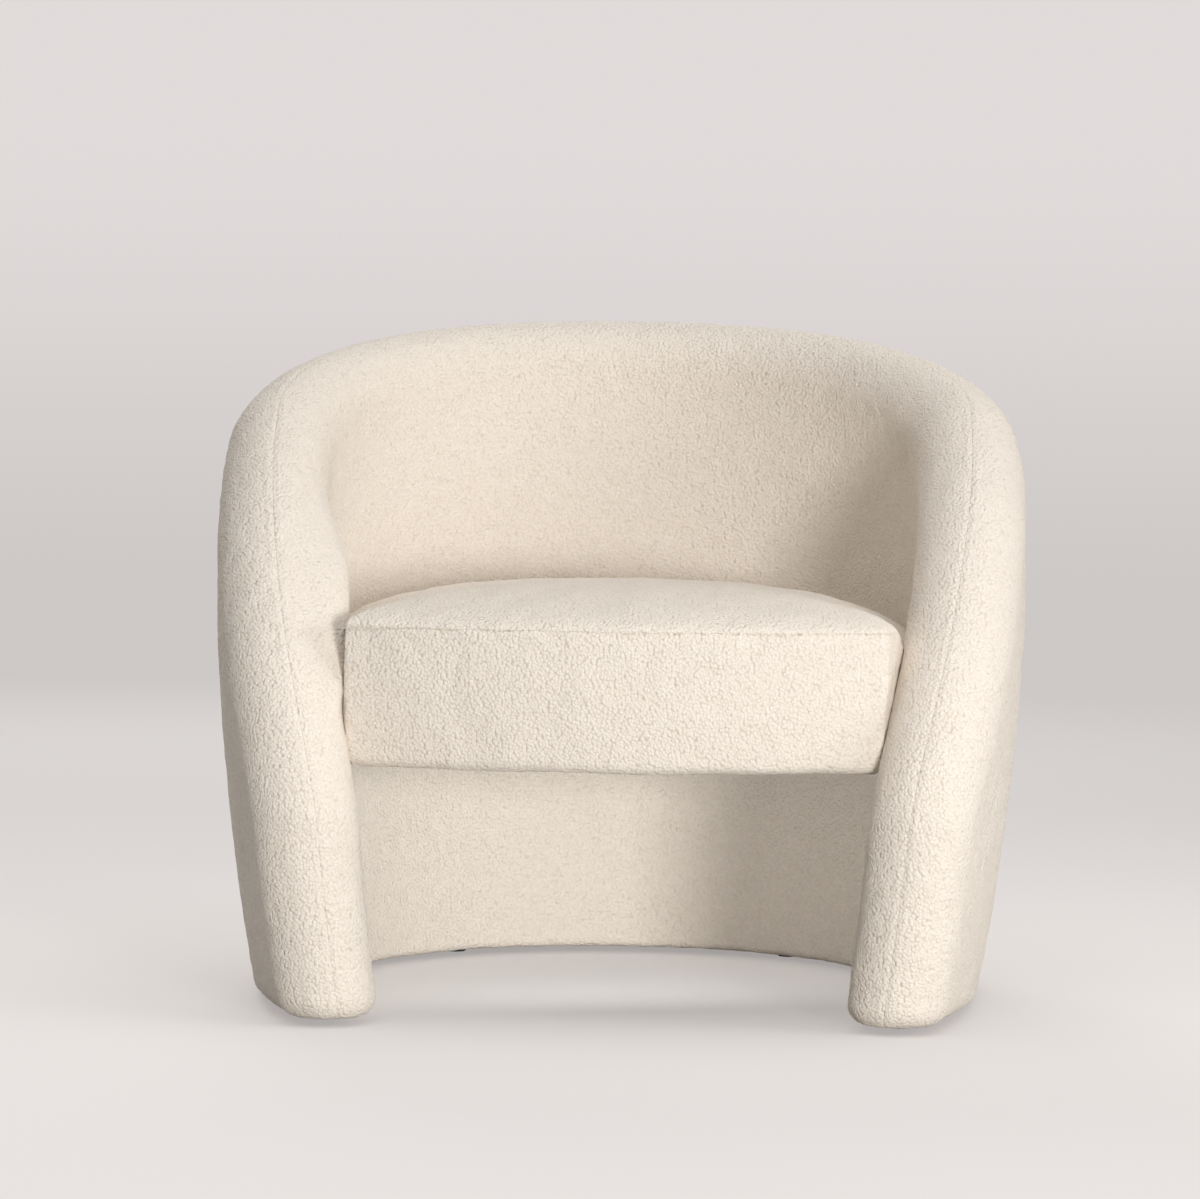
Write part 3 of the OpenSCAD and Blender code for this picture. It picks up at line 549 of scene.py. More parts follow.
# Heights of the wall rows of each column: level up to the seat ledge, then shared out to the crest
def wallHeights(tops, bottoms, lowRows, highRows):
    levelTop = shell["levelTop"]
    k = np.linspace(0, 1, lowRows + highRows + 1)[None, :]
    split = lowRows / (lowRows + highRows)
    tops, bottoms = tops[:, None], bottoms[:, None]
    low, high = k / split, (k - split) / (1 - split)
    level = np.where(k < split, bottoms + (levelTop - bottoms) * low, levelTop + (tops - levelTop) * high)
    plain = bottoms + (tops - bottoms) * k
    share = smooth((tops - shell["levelFrom"]) / shell["levelRun"])
    return share * level + (1 - share) * plain


# Shares of the quarter turn from the wall to the crest seam, with more rows near the seam
def lapShares():
    near = np.array([0, 0.6, 1.2, 1.9, 2.7, 3.6, 4.6, 5.6, 6.6, 7.8, 9.4, 11.6])
    distance = joined(near, np.linspace(15.0, 84.0, 18))
    shares = np.sort(1 - distance / (halfThick * math.pi / 2))
    return joined([0], shares[shares > 0.005])


def seamShift(distance, look):
    dip = -look["groove"] * np.exp(-(distance / look["grooveWidth"]) ** 2)
    return dip + look["ridge"] * np.exp(-((distance - look["ridgeAt"]) / look["ridgeWidth"]) ** 2)


# One cover as a single layer; each point also has its share of the bumps, which is 0 at the seam
def shellSkin(side, look, columns):
    u = np.linspace(0, fullLength, columns)
    turns, tops = crestAt(u)
    foot = smooth((np.abs(turns) - look["footFrom"]) / look["footRun"])
    rounding = (look["hemRound"] + (look["footRound"] - look["hemRound"]) * foot)[:, None]
    hem = shell["hem"]
    # the flange under the hem, the round of the hem, and the wall
    angles = np.radians(np.linspace(0, 90, 7)[:-1])[None]
    flange = rounding + np.linspace(look["flange"], 0, 5)[None, :-1]
    hemIn = joined(flange, rounding * (1 - np.sin(angles)), axis=1)
    hemZ = joined(np.full((len(u), 4), hem), hem + rounding * (1 - np.cos(angles)), axis=1)
    wallZ = wallHeights(tops, hem + rounding[:, 0], look["lowRows"], look["highRows"])
    z = joined(hemZ, wallZ, axis=1)
    half = halfAt(np.maximum(z, hem)) - joined(hemIn, np.zeros_like(wallZ), axis=1)
    laps = lapShares()[None]
    drops = np.array([1.0, 2.4, 4.5])  # the turned-in edge behind the seam

    def lapped(halfHere, turn, zHere, leanAlong, leanUp):
        halfHere = halfHere[:, None]
        radius = halfHere + seamShift(halfHere * (math.pi / 2) * (1 - laps), look)
        flat = np.maximum(radius * np.cos(laps * math.pi / 2), look["edge"])
        reach = radius * np.sin(laps * math.pi / 2)
        flat = joined(flat, np.full((len(flat), len(drops)), look["edge"]), axis=1)
        reach = joined(reach, reach[:, -1:] - drops[None], axis=1)
        place = onShell(turn[:, None], zHere[:, None] + reach * leanUp[:, None], side * flat,
                        reach * leanAlong[:, None])
        return joined(place, smooth((flat - 1.5) / 10)[..., None], axis=-1)

    wall = onShell(turns[:, None], z, side * half)
    patches = Patchwork()
    patches.add(joined(wall, np.ones(z.shape + (1,)), axis=-1), side < 0)
    patches.add(lapped(halfAt(tops), turns, tops, *crestLean(u)), side < 0)
    rows = z.shape[1]
    for end, sign in bothEnds:
        nose = lapped(half[end], np.full(rows, turns[end]), z[end], np.full(rows, sign), np.zeros(rows))
        patches.add(nose, (side < 0) == (sign < 0))
    return patches.welded()


# The seat runs straight back from its left front corner, and the arm's padding is filled up to it
armFill = {"side": 258.5, "front": -305.0, "slant": 0.08, "most": 24.0, "low": 278.0, "full": 340.0,
           "back": -20.0, "ahead": -140.0, "top": 520.0, "fade": 100.0}


def cornerDraw(x, y, z, gap):
    limit = -armFill["side"] - gap - armFill["slant"] * (y - armFill["front"])
    raised = smooth((z - armFill["low"]) / (armFill["full"] - armFill["low"]))
    forward = smooth((armFill["back"] - y) / (armFill["back"] - armFill["ahead"]))
    return np.clip(limit - x, 0, armFill["most"]) * raised * forward * (x < 0)


def filledArm(points, faces, gap, keep=1.0):
    x, y, z = points.T
    facing = smooth((normalsOf(points, faces)[:, 0] - 0.5) / 0.4)
    below = smooth((armFill["top"] - z) / armFill["fade"])
    return points + np.outer(cornerDraw(x, y, z, gap) * below * facing * keep, [1, 0, 0])


def makeCover(side, layer, look):
    points, faces = shellSkin(side, look, look[f"{layer}Columns"])
    points, keep = points[:, :3], points[:, 3]
    if layer == "inner":
        y, z = points[faces].mean(axis=1)[:, 1:].T
        slot = (z > look["slotLow"]) & (z < look["slotHigh"]) & (y > look["slotFront"])
        faces = faces[~slot]
        points = filledArm(points, faces, -look["overlap"], keep)
    points = roughened(points, faces, look["bumps"], keep)
    made = makePiece(f"{layer}Cover", f"{layer}_cover", points, faces, boucle)
    declareSheet(points, faces)


makeCover(1, "outer", coverLook)
makeCover(-1, "inner", coverLook)
print("covers made")


# Padding of the shell, between the covers and the frame's boards
paddingLook = {"columns": 110, "rows": 34, "laps": 8, "depth": 3.6, "split": 5, "hemUp": 5.0,
               "hemRound": 24.0, "thinnest": 0.2, "closest": 3.0}


# A closed solid between the cover and the frame's boards, from one column to another
def paddingSolid(side, look, first, last):
    u = np.linspace(0, fullLength, look["columns"])
    first, last = knotPlaces[first + halfSteps], knotPlaces[last + halfSteps]
    u = joined([first], u[(u > first + look["closest"]) & (u < last - look["closest"])], [last])
    turns, tops = crestAt(u)
    hem = np.full(len(u), shell["hem"] + look["hemUp"])
    z = wallHeights(tops, hem, look["rows"] // 2, look["rows"] // 2)
    core = abs(frameForm["shift"] + side * (frameForm["half"] + frameForm["board"] + 2 * frameForm["room"]))
    laps = np.linspace(0, 1, look["laps"] + 1)[None, 1:]
    leanAlong, leanUp = (lean[:, None] for lean in crestLean(u))
    ends = [(end, sign) for end, sign in bothEnds if u[end] in (0, fullLength)]

    def skin(depth, padded):
        def flatOf(half, lap):
            flat = half * np.cos(lap * math.pi / 2) if padded else core * (1 - lap) + 0 * half
            return side * np.maximum(flat, look["thinnest"])

        def reachOf(half, lap):
            return half * np.sin(lap * math.pi / 2) if padded else frameForm["room"] + 0 * half
        radius = look["hemRound"]
        low = np.clip(radius - (z - shell["hem"]), 0, radius)
        half = halfAt(z) - depth - (radius - np.sqrt(radius ** 2 - low ** 2) if padded else 0)
        wall = onShell(turns[:, None], z, flatOf(half, 0.0))
        top = halfAt(tops)[:, None] - depth
        reach = reachOf(top, laps)
        rim = onShell(turns[:, None], tops[:, None] + reach * leanUp, flatOf(top, laps), reach * leanAlong)
        noses = []
        for end, sign in ends:
            h = half[end][:, None]
            noses.append(onShell(np.full((len(h), 1), turns[end]), z[end][:, None] + 0 * laps,
                                 flatOf(h, laps), sign * reachOf(h, laps)))
        return joined(wall, rim, axis=1), noses

    outer, outerNoses = skin(look["depth"], True)
    inner, innerNoses = skin(0, False)
    turnOver = side < 0
    patches = Patchwork()
    patches.add(outer, turnOver)
    patches.add(inner, not turnOver)
    patches.add(np.stack([inner[:, -1], outer[:, -1]], 1), not turnOver)
    patches.add(np.stack([outer[:, 0], inner[:, 0]], 1), not turnOver)
    for end, sign in bothEnds:
        if 0 < u[end] < fullLength:  # the butted edge between two pieces
            patches.add(np.stack([inner[end], outer[end]], 1), turnOver == (sign > 0))
    rows = z.shape[1]
    for k, (end, sign) in enumerate(ends):
        flip = turnOver == (sign < 0)
        a = joined(outer[end, :rows][:, None], outerNoses[k], axis=1)
        b = joined(inner[end, :rows][:, None], innerNoses[k], axis=1)
        a[-1, 1:], b[-1, 1:] = outer[end, rows:], inner[end, rows:]
        patches.add(a, flip)
        patches.add(b, not flip)
        patches.add(np.stack([a[:, -1], b[:, -1]], 1), flip)
        patches.add(np.stack([b[0], a[0]], 1), flip)
    return patches.welded()


def makePadding(side, layer, look):
    cuts = [-halfSteps, -look["split"], look["split"], halfSteps]
    for place, first, last in zip(("left", "back", "right"), cuts, cuts[1:]):
        points, faces = paddingSolid(side, look, first, last)
        if layer == "inner":
            points = filledArm(points, faces, look["depth"])
        made = makePiece(f"{place}{layer.title()}Foam", f"{place}_{layer}_foam", points, faces, foam)


makePadding(1, "outer", paddingLook)
makePadding(-1, "inner", paddingLook)
print("shell padding made")


# The seat
seatLook = {
    "sidePoints": 330, "cornerPoints": 14, "frontPoints": 130, "corner": 4.5,
    "leftGap": 0.8, "pressed": 3.0, "bottomRound": 11.0, "sideRound": 3.0, "swell": 4.0,
    "scallop": 0.96, "scallopRun": 21.0,
    # how far inward the band's lower lip goes, and (down, inward) of its rolled top and of the top's edge
    "lips": (34.0, 22.0, 12.0), "rolled": ((2.2, 0.2), (1.0, 0.9), (0.6, 2.0), (2.4, 3.0)),
    "tucked": ((3.0, 2.6), (1.5, 1.6)),
    "bumps": [(45.0, 1.4), (18.0, 0.8), (6.0, 0.6)],
}
paddingShape = dict(seatLook, sidePoints=60, cornerPoints=3, frontPoints=24)
wallPerDegree = 10.2  # run of the wall in a degree of turn beside the seat's corner
frontLength = 505.0  # from one front corner of the seat to the other
seatEnd = float(columnTurn(seatSteps))
shareStart = float(columnTurn(seatSteps - 2))
seatHeart = np.array([0.0, (midDepth - noseY) / 2 - middleY - seat["bow"] / 2])
cornerX = abs(onShell(seatEnd, seat["seam"], -halfAt(seat["seam"]))[0])


def seatSide(t, z, inset):
    return onShell(t, z, -halfAt(z) - seat["gap"] - inset)


# A row from one front corner to the other, bowed forward between them
def bowed(a, b, share):
    share = np.asarray(share)[:, None]
    line = a + (b - a) * share
    line[:, 1] -= (4 * seat["bow"] * share * (1 - share))[:, 0]
    return line


def seatFront(share, z, inset):
    line = bowed(seatSide(seatEnd, z, inset)[:2], seatSide(-seatEnd, z, inset)[:2], share)
    line[:, 1] += inset
    return line


# The seat's outline at a height, with rounded front corners; also how far each point belongs to the front
def seatRing(z, inset, look):
    reach = seatEnd - look["corner"] / wallPerDegree
    t = np.linspace(-reach, reach, look["sidePoints"])
    side = seatSide(t, np.full_like(t, z), inset)[:, :2]
    span = look["corner"] / frontLength
    front = seatFront(np.linspace(span, 1 - span, look["frontPoints"]), z, inset)
    tips = [seatFront(np.array([k]), z, inset)[0] for k in (0.0, 1.0)]
    w = np.linspace(0, 1, look["cornerPoints"] + 2)[1:-1, None]

    def arc(start, tip, end):
        return (1 - w) ** 2 * start + 2 * w * (1 - w) * tip + w ** 2 * end
    ring = joined(side, arc(side[-1], tips[0], front[0]), front, arc(front[-1], tips[1], side[0]))
    sideShare = smooth((np.abs(t) - shareStart) / (seatEnd - shareStart) / 0.7)
    return ring, joined(sideShare, np.ones(len(ring) - len(t)))


# The seat's outline, and the loops and domes of points that follow it
class SeatOutline:
    def __init__(self, look):
        self.look = look
        self.base, self.frontness = seatRing(360.0, 0.0, look)
        self.size = len(self.base)
        self.here = np.arange(self.size)
        self.following = (self.here + 1) % self.size
        self.edge = seat["sideSeam"] + (seat["seam"] - seat["sideSeam"]) * self.frontness
        self.setIn = np.where(self.base[:, 0] < 0, look["leftGap"], 0.0) * (1 - self.frontness)

    # A loop differs in height round the seat, so it is mixed from level rings
    def loop(self, heights, inset):
        count, probe = 9, 20.0
        levels = np.linspace(min(heights.min(), 240.0), max(heights.max(), 420.0), count)
        place = np.clip((heights - levels[0]) / (levels[-1] - levels[0]) * (count - 1), 0, count - 1.001)
        k, f, n = place.astype(int), (place % 1)[:, None], self.here

        def mixed(depth):
            rings = np.array([seatRing(level, depth, self.look)[0] for level in levels])
            return rings[k, n] * (1 - f) + rings[k + 1, n] * f
        outer, inner = mixed(0.0), mixed(probe)
        ring = outer + (inner - outer) * ((self.setIn + inset) / probe)[:, None]
        x, y = ring.T
        x = x + cornerDraw(x, y, heights, 0.0) * smooth((-x - 130) / 100)
        x = x * (1 + self.look["pressed"] / cornerX)  # the sides press into the lining
        return np.stack([x, y, heights], 1)

    # A crowned layer at a depth below the top's face
    def dome(self, inset, drop, shares):
        edge = self.loop(self.edge, inset)
        rings = []
        for share in shares:
            crown = max(0.0, 1 - share ** seat["crownPower"]) ** seat["crownEdgePower"]
            height = self.edge + (seat["top"] - self.edge) * crown - drop
            rings.append(np.column_stack([seatHeart + (edge[:, :2] - seatHeart) * share, height]))
        return rings

    # Rings closed over a last point
    def closed(self, rings, heart, flip=False):
        points, last = np.concatenate(rings + [[heart]]), (len(rings) - 1) * self.size
        cap = fanFaces(last + self.here, last + self.following, len(points) - 1)
        return points, joined(ringFaces(len(rings), self.size, flip), cap[:, ::-1] if flip else cap)

    # A solid between a lower and an upper dome
    def between(self, lower, upper):
        low, lowFaces = self.closed(lower, lower[-1].mean(axis=0), flip=True)
        high, highFaces = self.closed(upper, upper[-1].mean(axis=0))
        a, b, up = self.here, self.following, len(low)
        return joined(low, high), joined(lowFaces, highFaces + up, np.stack([a, b, up + b, up + a], -1))


def makeSeatTop(form, look):
    nearEdge = [0, 0.002, 0.005, 0.009, 0.014, 0.02, 0.028, 0.038]
    rings = form.dome(0.0, 0.0, 1 - joined(nearEdge, np.linspace(0.05, 0.96, 52)))
    tuck = [form.loop(form.edge, inward) - [0, 0, down] for down, inward in look["tucked"]]
    points, faces = form.closed(tuck + rings, [*seatHeart, seat["top"]])
    points = roughened(points, faces, look["bumps"])
    made = makePiece("seatTop", "seat_top_panel", points, faces, boucle)
    declareSheet(points, faces)


# The band round the seat: lip, rounded lower edge, swelling wall and rolled top edge
def makeSeatBorder(form, look):
    front = form.frontness
    rounding = look["sideRound"] + (look["bottomRound"] - look["sideRound"]) * front
    along = joined([0], np.cumsum(np.linalg.norm(np.diff(form.base, axis=0), axis=1)))
    sag = look["scallop"] * front * (0.5 + 0.5 * np.sin(along / look["scallopRun"]))
    low = seat["sideBottom"] + (seat["bottom"] - seat["sideBottom"]) * front
    rings = [form.loop(low - sag + 0.3, rounding + lip * front + 4 * (1 - front)) for lip in look["lips"]]
    for angle in np.radians(np.linspace(0, 90, 6)):
        up, inward = 1 - math.cos(angle), 1 - math.sin(angle)
        rings.append(form.loop(low - sag + rounding * up, rounding * inward))
    for share in np.linspace(0, 1, 30)[1:-1]:
        ring = form.loop((low + rounding) * (1 - share) + form.edge * share - sag * (1 - share), 0.0)
        ring[:, 1] -= look["swell"] * front * math.sin(math.pi * share) ** 0.8
        rings.append(ring)
    rings += [form.loop(form.edge - down, inward) for down, inward in look["rolled"]]
    points = np.concatenate(rings)
    faces = ringFaces(len(rings), form.size, flip=True)
    points = roughened(points, faces, look["bumps"])
    made = makePiece("seatBorder", "seat_border", points, faces, boucle)
    declareSheet(points, faces)


# The seat's foam and the fibre over it; depths are below the fabric's face
stuffing = {"inset": 4.5, "wrapTop": 3.4, "wrapBottom": 13.0, "foamTop": 13.6, "foamFoot": 302.0,
            "crown": 14.0, "domeRises": [0, 0.01, 0.03, 0.07, 0.14, 0.25, 0.4, 0.6, 0.8]}


def makeSeatFibreWrap(form, look):
    shares = 1 - np.array(look["domeRises"])
    lower, upper = (form.dome(look["inset"], look[k], shares) for k in ("wrapBottom", "wrapTop"))
    points, faces = form.between(lower, upper)
    made = makePiece("seatFibreWrap", "seat_fibre_wrap", points, faces, fibre)


def makeSeatFoam(form, look):
    foot, top = look["foamFoot"], look["foamTop"]
    rings = [form.loop(np.full(form.size, foot), look["inset"]),
             form.loop((form.edge - look["crown"] + foot) / 2, look["inset"] + 1.0)]
    rings += form.dome(look["inset"] + 0.1, top, 1 - np.array(look["domeRises"]))
    points, faces = form.closed(rings, [*seatHeart, seat["top"] - top])
    faces = joined(faces, fanFaces(form.following, form.here, len(points)))
    points = joined(points, [[*seatHeart, foot]])
    made = makePiece("seatFoam", "seat_foam", points, faces, foam)


# The pad on the front rail: each ring is (height, depth of its front, depth of its back)
frontPadRings = [(262, 6.5, 13.0), (268, 4.0, 13.2), (284, 3.8, 13.2), (298, 4.0, 13.2), (301, 6.5, 13.0)]


def makeSeatFrontPad(look):
    face = seatFront(np.linspace(0.07, 0.93, 40), 282.0, 0.0)
    rings = []
    for height, front, back in look:
        ring = joined(face + [0, front], face[::-1] + [0, back])
        rings.append(np.column_stack([ring, np.full(len(ring), float(height))]))
    size = len(rings[0])
    k, top = np.arange(size // 2 - 1), (len(rings) - 1) * size
    upperEnd = np.stack([top + k, top + k + 1, top + size - 2 - k, top + size - 1 - k], -1)
    lowerEnd = np.stack([size - 1 - k, size - 2 - k, k + 1, k], -1)
    faces = joined(ringFaces(len(rings), size), upperEnd, lowerEnd)
    made = makePiece("seatFrontPad", "seat_front_pad", np.concatenate(rings), faces, fibre)


fineOutline, plainOutline = SeatOutline(seatLook), SeatOutline(paddingShape)
makeSeatTop(fineOutline, seatLook)
makeSeatBorder(fineOutline, seatLook)
print("seat cover made")
makeSeatFibreWrap(plainOutline, stuffing)
makeSeatFoam(plainOutline, stuffing)
makeSeatFrontPad(frontPadRings)
print("seat padding made")


# The dust cloths under the shell and under the seat
shellClothLook = {"inset": 20.0, "height": 6.4, "end": 119.5, "bumps": [(60.0, 0.5), (16.0, 0.25)]}
seatClothLook = {"inset": 1.5, "height": 261.4, "front": -232.0, "frontIn": 38.0, "middleGap": 6.0,
                 "bumps": [(70.0, 0.8), (18.0, 0.3)]}


# A sheet between two rows of points, bumped a little
def stripSheet(name, node, a, b, across, look):
    w = np.linspace(0, 1, across)[None, :, None]
    grid = a[:, None, :] * (1 - w) + b[:, None, :] * w
    grid[..., 2] = look["height"]
    points, faces = grid.reshape(-1, 3), gridFaces(grid.shape[0], grid.shape[1])
    points = roughened(points, faces, look["bumps"])
    return makePiece(name, node, points, faces, dustCloth), points, faces


def makeBaseDustCloth(look):
    hem, end = shell["hem"], look["end"]
    half = float(halfAt(hem)) - look["inset"]
    t = np.linspace(-end, end, 150)
    edges = [onShell(t, np.full_like(t, hem), way * half) for way in (1, -1)]
    for angle in np.radians(np.linspace(0, 90, 8))[1:]:  # rounded off at both arm fronts
        reach, flat = half * math.sin(angle), max(half * math.cos(angle), 0.5)
        for k, way in ((0, 1), (1, -1)):
            first, last = (onShell(sign * end, hem, way * flat, sign * reach)[None] for sign in (-1, 1))
            edges[k] = joined(first, edges[k], last)
    made, points, faces = stripSheet("baseDustCloth", "base_dust_cloth", *edges, 12, look)
    declareSheet(points, faces, stretch=1.01)


def makeSeatDustCloth(look):
    ring = seatRing(261.0, look["inset"], paddingShape)[0]
    half = paddingShape["sidePoints"] // 2
    rows = []
    for row, first, last in ((ring[:half][::-1], 0.93, 0.52), (ring[half:2 * half], 0.07, 0.48)):
        row = row[row[:, 1] > look["front"]]
        x = np.linspace(row[-1, 0], math.copysign(look["middleGap"], row[-1, 0]), 14)[1:]
        y = seatFront(np.linspace(first, last, 13), 280, look["frontIn"])[:, 1]
        row = joined(row, np.stack([x, y], 1))
        rows.append(np.pad(row, ((0, 0), (0, 1))))
    made, points, faces = stripSheet("seatDustCloth", "seat_dust_cloth", *rows, 40, look)
    declareSheet(points, faces, stretch=1.01)


makeBaseDustCloth(shellClothLook)
makeSeatDustCloth(seatClothLook)
print("dust cloths made")


# The webbing, woven over the opening in the deck
webbingForm = {"rim": 52.0, "front": 74.0, "deckIn": 13.6, "deckZ": 280.3, "hold": 24.0, "strap": 50.0,
               "gap": 20.0, "top": 298.3, "thick": 1.5, "wave": 0.9, "settle": 0.7, "steps": 80}


# A front corner of the deck's opening, set in by a distance on its two sides
def deckCorner(form, turn, sideIn, frontIn):
    out = -halfAt(form["deckZ"]) - seat["gap"] - sideIn
    return onShell(turn, form["deckZ"], out, -math.copysign(frontIn, turn))[:2]


# The outline that the straps are cut to, beyond the opening in the deck
def strapOutline(form):
    sideIn, frontIn = (form["deckIn"] + form[k] - form["hold"] for k in ("rim", "front"))
    t = columnTurn(np.arange(3 - seatSteps, seatSteps - 2))
    side = seatSide(t, np.full(len(t), form["deckZ"]), sideIn)[:, :2]
    a, b = (deckCorner(form, turn, sideIn, frontIn) for turn in (seatEnd, -seatEnd))
    return joined(side, bowed(a, b, np.linspace(0, 1, 9)))


# Where a line across the outline at x (axis 0) or y (axis 1) enters and leaves it
def crossing(outline, axis, value):
    following = np.roll(outline, -1, axis=0)
    a, b = outline[:, axis] - value, following[:, axis] - value
    cut = a * b < 0
    share = (a[cut] / (a[cut] - b[cut]))[:, None]
    hits = (outline[cut] * (1 - share) + following[cut] * share)[:, 1 - axis]
    return hits.min(), hits.max()


def strapSet(name, node, lengthwise, form):
    outline = strapOutline(form)
    pitch, steps, half = form["strap"] + form["gap"], form["steps"], form["strap"] / 2
    openX, openY = deckCorner(form, seatEnd, form["deckIn"] + form["rim"], form["deckIn"] + form["front"])
    backY = seatSide(0.0, form["deckZ"], form["deckIn"] + form["rim"])[1]
    centreY = (openY + backY) / 2
    middle, other = (0.0, centreY) if lengthwise else (centreY, 0.0)
    count = int((2 * abs(openX) if lengthwise else backY - openY) // pitch)
    points, faces, uvs = [], [], []
    for k in range(count):
        centre = middle + (k - (count - 1) / 2) * pitch
        for w in (0.1 - half, -12.0, 0.0, 12.0, half - 0.1):
            low, high = crossing(outline, 0 if lengthwise else 1, centre + w)
            s = np.linspace(low, high, steps)
            inside = smooth((np.minimum(s - low, high - s) - form["hold"]) / 18)
            wave = form["wave"] * np.cos(math.pi * ((s - other) / pitch + k + (0.5 if lengthwise else 0.0)))
            rise = form["top"] + form["thick"] + (wave * inside - form["settle"] * (1 - inside)) * (
                1 if lengthwise else -1)
            beside = np.full(steps, centre + w)
            points.append(np.stack([beside, s, rise] if lengthwise else [s, beside, rise], 1))
            uvs.append(np.stack([np.full(steps, (w + half) * 0.001), s * 0.001], 1))
        faces.append(gridFaces(5, steps, k * 5 * steps, flip=lengthwise))
    points, faces, uvs = np.concatenate(points), np.concatenate(faces), np.concatenate(uvs)
    made = makePiece(name, node, points, faces, webbing)
    layer = made.data.uv_layers.new(name="weave")
    corner = np.zeros(len(made.data.loops), int)
    made.data.loops.foreach_get("vertex_index", corner)
    layer.data.foreach_set("uv", uvs[corner].reshape(-1))
    width, area = form["strap"] * 0.001, areaOf(points, faces) * 1e-6


strapSet("longStraps", "long_straps", True, webbingForm)
strapSet("crossStraps", "cross_straps", False, webbingForm)
print("webbing made")


# The frame and the fastenings keep their CAD shapes
finishes = (
    (board, ["outer_board", "inner_board"]),
    (plywood, ["base_ring", "seat_ledge", "crest_rail", "seat_deck", "front_rail"]),
    (plywoodStanding, ["left_arm_post", "right_arm_post", "back_rib"]),
    (plywoodStanding, [f"{side}_rib_{k}" for side in ("left", "right") for k in range(1, 5)]),
    (plastic, ["glides"]),
    (zinc, ["glide_screws", "seat_bolts", "bolt_washers", "tee_nuts"]),
    (yellowZinc, ["rib_screws", "rail_screws"]),
)
for material, names in finishes:
    for name in names:
        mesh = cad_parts[name].data
        mesh.materials.clear()
        mesh.materials.append(material)
print("carried nodes finished")


cameraForm = {"place": (0.0801, -4.5472, 0.60145), "yaw": -1.299, "pitch": 2.57, "roll": 0.753, "lens": 132.3}


def makeCamera(form):
    yaw, pitch, roll = (math.radians(form[k]) for k in ("yaw", "pitch", "roll"))
    camera = newObject("camera", bpy.data.cameras.new("camera"))
    camera.data.lens = form["lens"]
    camera.data.sensor_width = 36.0
    camera.data.clip_end = 100.0
    turned = (Matrix.Rotation(-yaw, 4, "Z") @ Matrix.Rotation(math.pi / 2 - pitch, 4, "X")
              @ Matrix.Rotation(roll, 4, "Z"))
    camera.matrix_world = Matrix.Translation(form["place"]) @ turned
    bpy.context.scene.camera = camera


# A pale floor that fades into the backdrop, and glows a little where it is seen
floorLook = {"colour": (0.88, 0.865, 0.855, 1), "glow": (0.78, 0.735, 0.71, 1),
             "farGlow": (0.45, 0.415, 0.40, 1), "glowShare": 0.5, "glowFrom": -0.5, "glowTo": 2.4,
             "dim": (0.60, 0.588, 0.57, 1), "fadeFrom": 1.2, "fadeTo": 5.2,
             "radii": [0.6, 1.2, 2.4, 4.0, 8.5]}
backdropLook = {"colour": (0.75, 0.71, 0.703, 1), "low": (0.610, 0.580, 0.567, 1),
                "above": (1.76, 1.73, 1.715, 1), "around": (0.09, 0.088, 0.086, 1), "lampFrom": 0.6}


# Seen straight on or in a reflection, and not as light on the chair
def seenShare(graph):
    ray = graph.add("ShaderNodeLightPath")
    return ray.output("Is Camera Ray") + ray.output("Is Glossy Ray")


def floorMaterial(look):
    graph, place = newMaterial("floor")
    distance = graph.add("ShaderNodeVectorMath", {0: place}, output="Value", operation="LENGTH")
    away = graph.part(place, "Y").ramp(look["glowFrom"], look["glowTo"])
    shade, dim = (graph.add("ShaderNodeBsdfDiffuse", {"Color": look[k]}) for k in ("colour", "dim"))
    glow = graph.add("ShaderNodeEmission", {"Color": graph.mix(away, look["glow"], look["farGlow"])})
    seen = graph.add("ShaderNodeMixShader", {0: look["glowShare"], 1: shade, 2: glow})
    near = graph.add("ShaderNodeMixShader", {0: seenShare(graph), 1: dim, 2: seen})
    clear = graph.add("ShaderNodeBsdfTransparent")
    fade = distance.ramp(look["fadeFrom"], look["fadeTo"])
    faded = graph.add("ShaderNodeMixShader", {0: fade, 1: near, 2: clear})
    graph.add("ShaderNodeOutputMaterial", {"Surface": faded})
    return graph.owner


def makeFloor(look):
    count, radii = 96, look["radii"]
    turns = np.linspace(0, 2 * math.pi, count + 1)[:-1]
    rings = [np.stack([radius * np.cos(turns), radius * np.sin(turns), 0 * turns], 1) for radius in radii]
    points, n = np.concatenate(rings + [[[0, 0, 0]]]), np.arange(count)
    hub = fanFaces(n, (n + 1) % count, len(points) - 1)
    faces = joined(ringFaces(len(radii), count, flip=True), hub)
    floor = newObject("floor", newMesh("floor", points, faces, floorMaterial(look)))


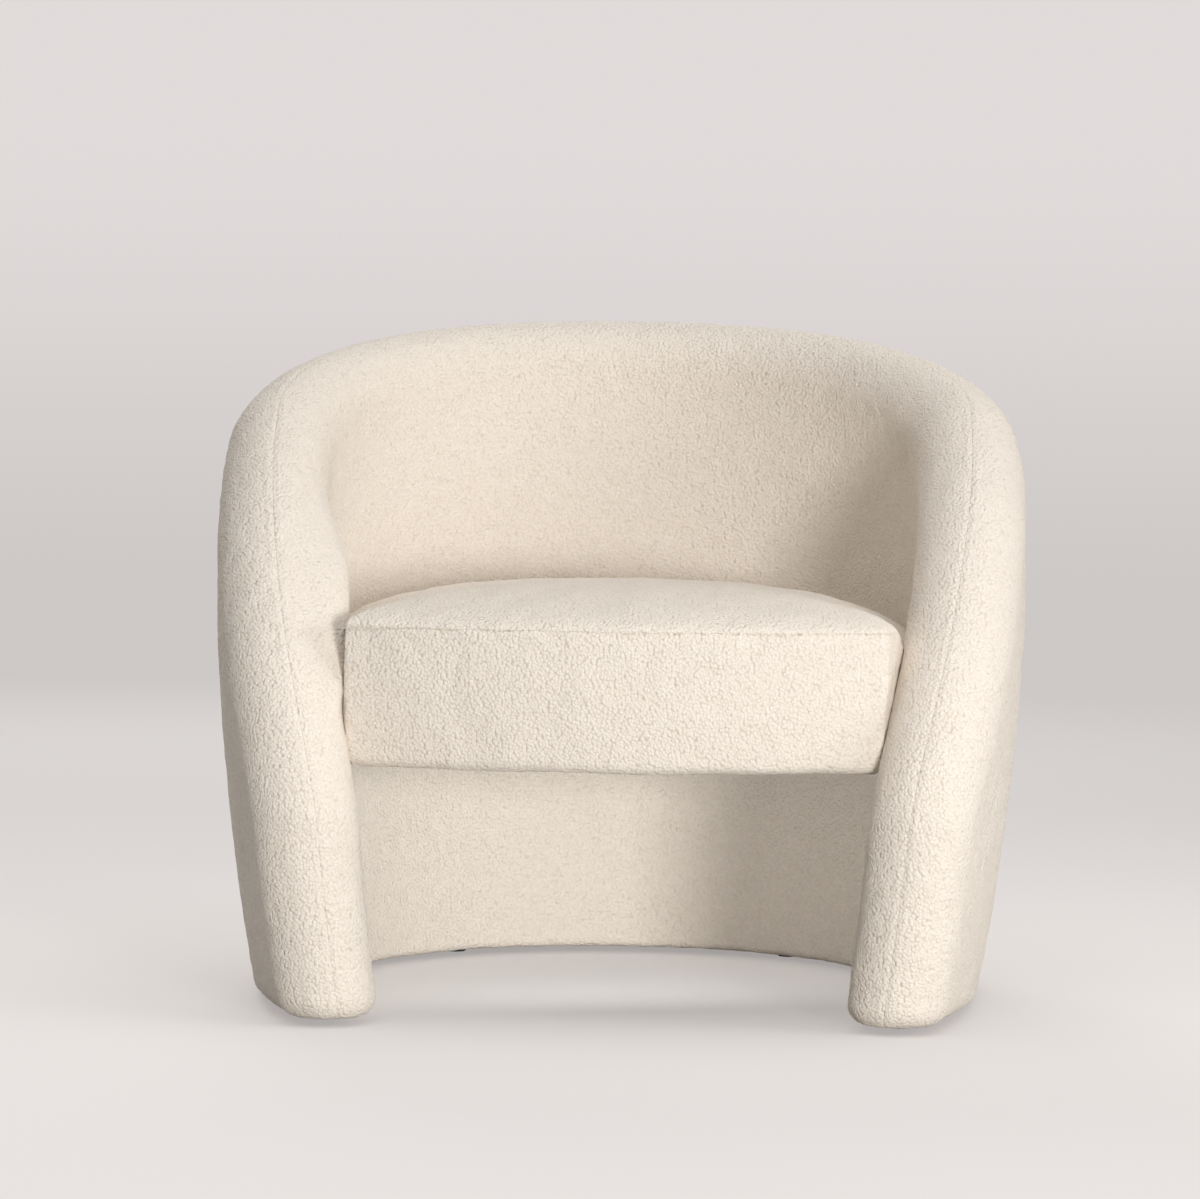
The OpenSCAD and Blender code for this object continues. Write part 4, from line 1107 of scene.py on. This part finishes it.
def makeRoom(look):
    world = bpy.data.worlds.new("room")
    bpy.context.scene.world = world
    graph = Graph(world)
    rise = graph.part(graph.add("ShaderNodeTexCoord", output="Generated"), "Z")
    wall = graph.mix(rise.ramp(-0.055, 0.06), look["low"], look["colour"])
    light = graph.mix(rise.ramp(look["lampFrom"], 1.0), look["around"], look["above"])
    seen, lit = (graph.add("ShaderNodeBackground", {"Color": colour}) for colour in (wall, light))
    both = graph.add("ShaderNodeMixShader", {0: seenShare(graph), 1: lit, 2: seen})
    graph.add("ShaderNodeOutputWorld", {"Surface": both})


# Turn (from the front to the picture's right) and rise are in degrees; far, wide and tall in metres
lights = {
    "key": {"turn": 18, "rise": 1.5, "far": 5.0, "wide": 0.9, "power": 146, "colour": (1.0, 0.993, 0.98)},
    "side": {"turn": 66, "rise": 16, "far": 6.0, "wide": 2.6, "power": 85, "colour": (1.0, 0.99, 0.98)},
    "behind": {"turn": 195, "rise": 24, "far": 6.0, "wide": 3.2, "power": 130, "colour": (1.0, 0.985, 0.97)},
    "under": {"turn": 14, "rise": 14, "far": 0.48, "wide": 0.40, "tall": 0.04, "power": 0.54,
              "colour": (1.0, 0.985, 0.96), "aim": (-0.12, 0.28, 0.08)},
}


def makeLamp(name, light):
    lamp = bpy.data.lights.new(name, "AREA")
    lamp.shape = "ELLIPSE"
    lamp.size, lamp.size_y = light["wide"], light.get("tall", light["wide"])
    lamp.energy, lamp.color = light["power"], light["colour"]
    turn, rise = math.radians(light["turn"]), math.radians(light["rise"])
    back = Vector((math.sin(turn) * math.cos(rise), -math.cos(turn) * math.cos(rise), math.sin(rise)))
    made = newObject(name, lamp)
    made.location = Vector(light.get("aim", (0, 0, 0.35))) + back * light["far"]
    made.rotation_mode = "QUATERNION"
    made.rotation_quaternion = (-back).to_track_quat("-Z", "Y")
    made.visible_camera = False


makeCamera(cameraForm)
makeFloor(floorLook)
makeRoom(backdropLook)
for name, light in lights.items():
    makeLamp(name, light)
bpy.context.scene.view_settings.view_transform = "Standard"
print("camera and light set")
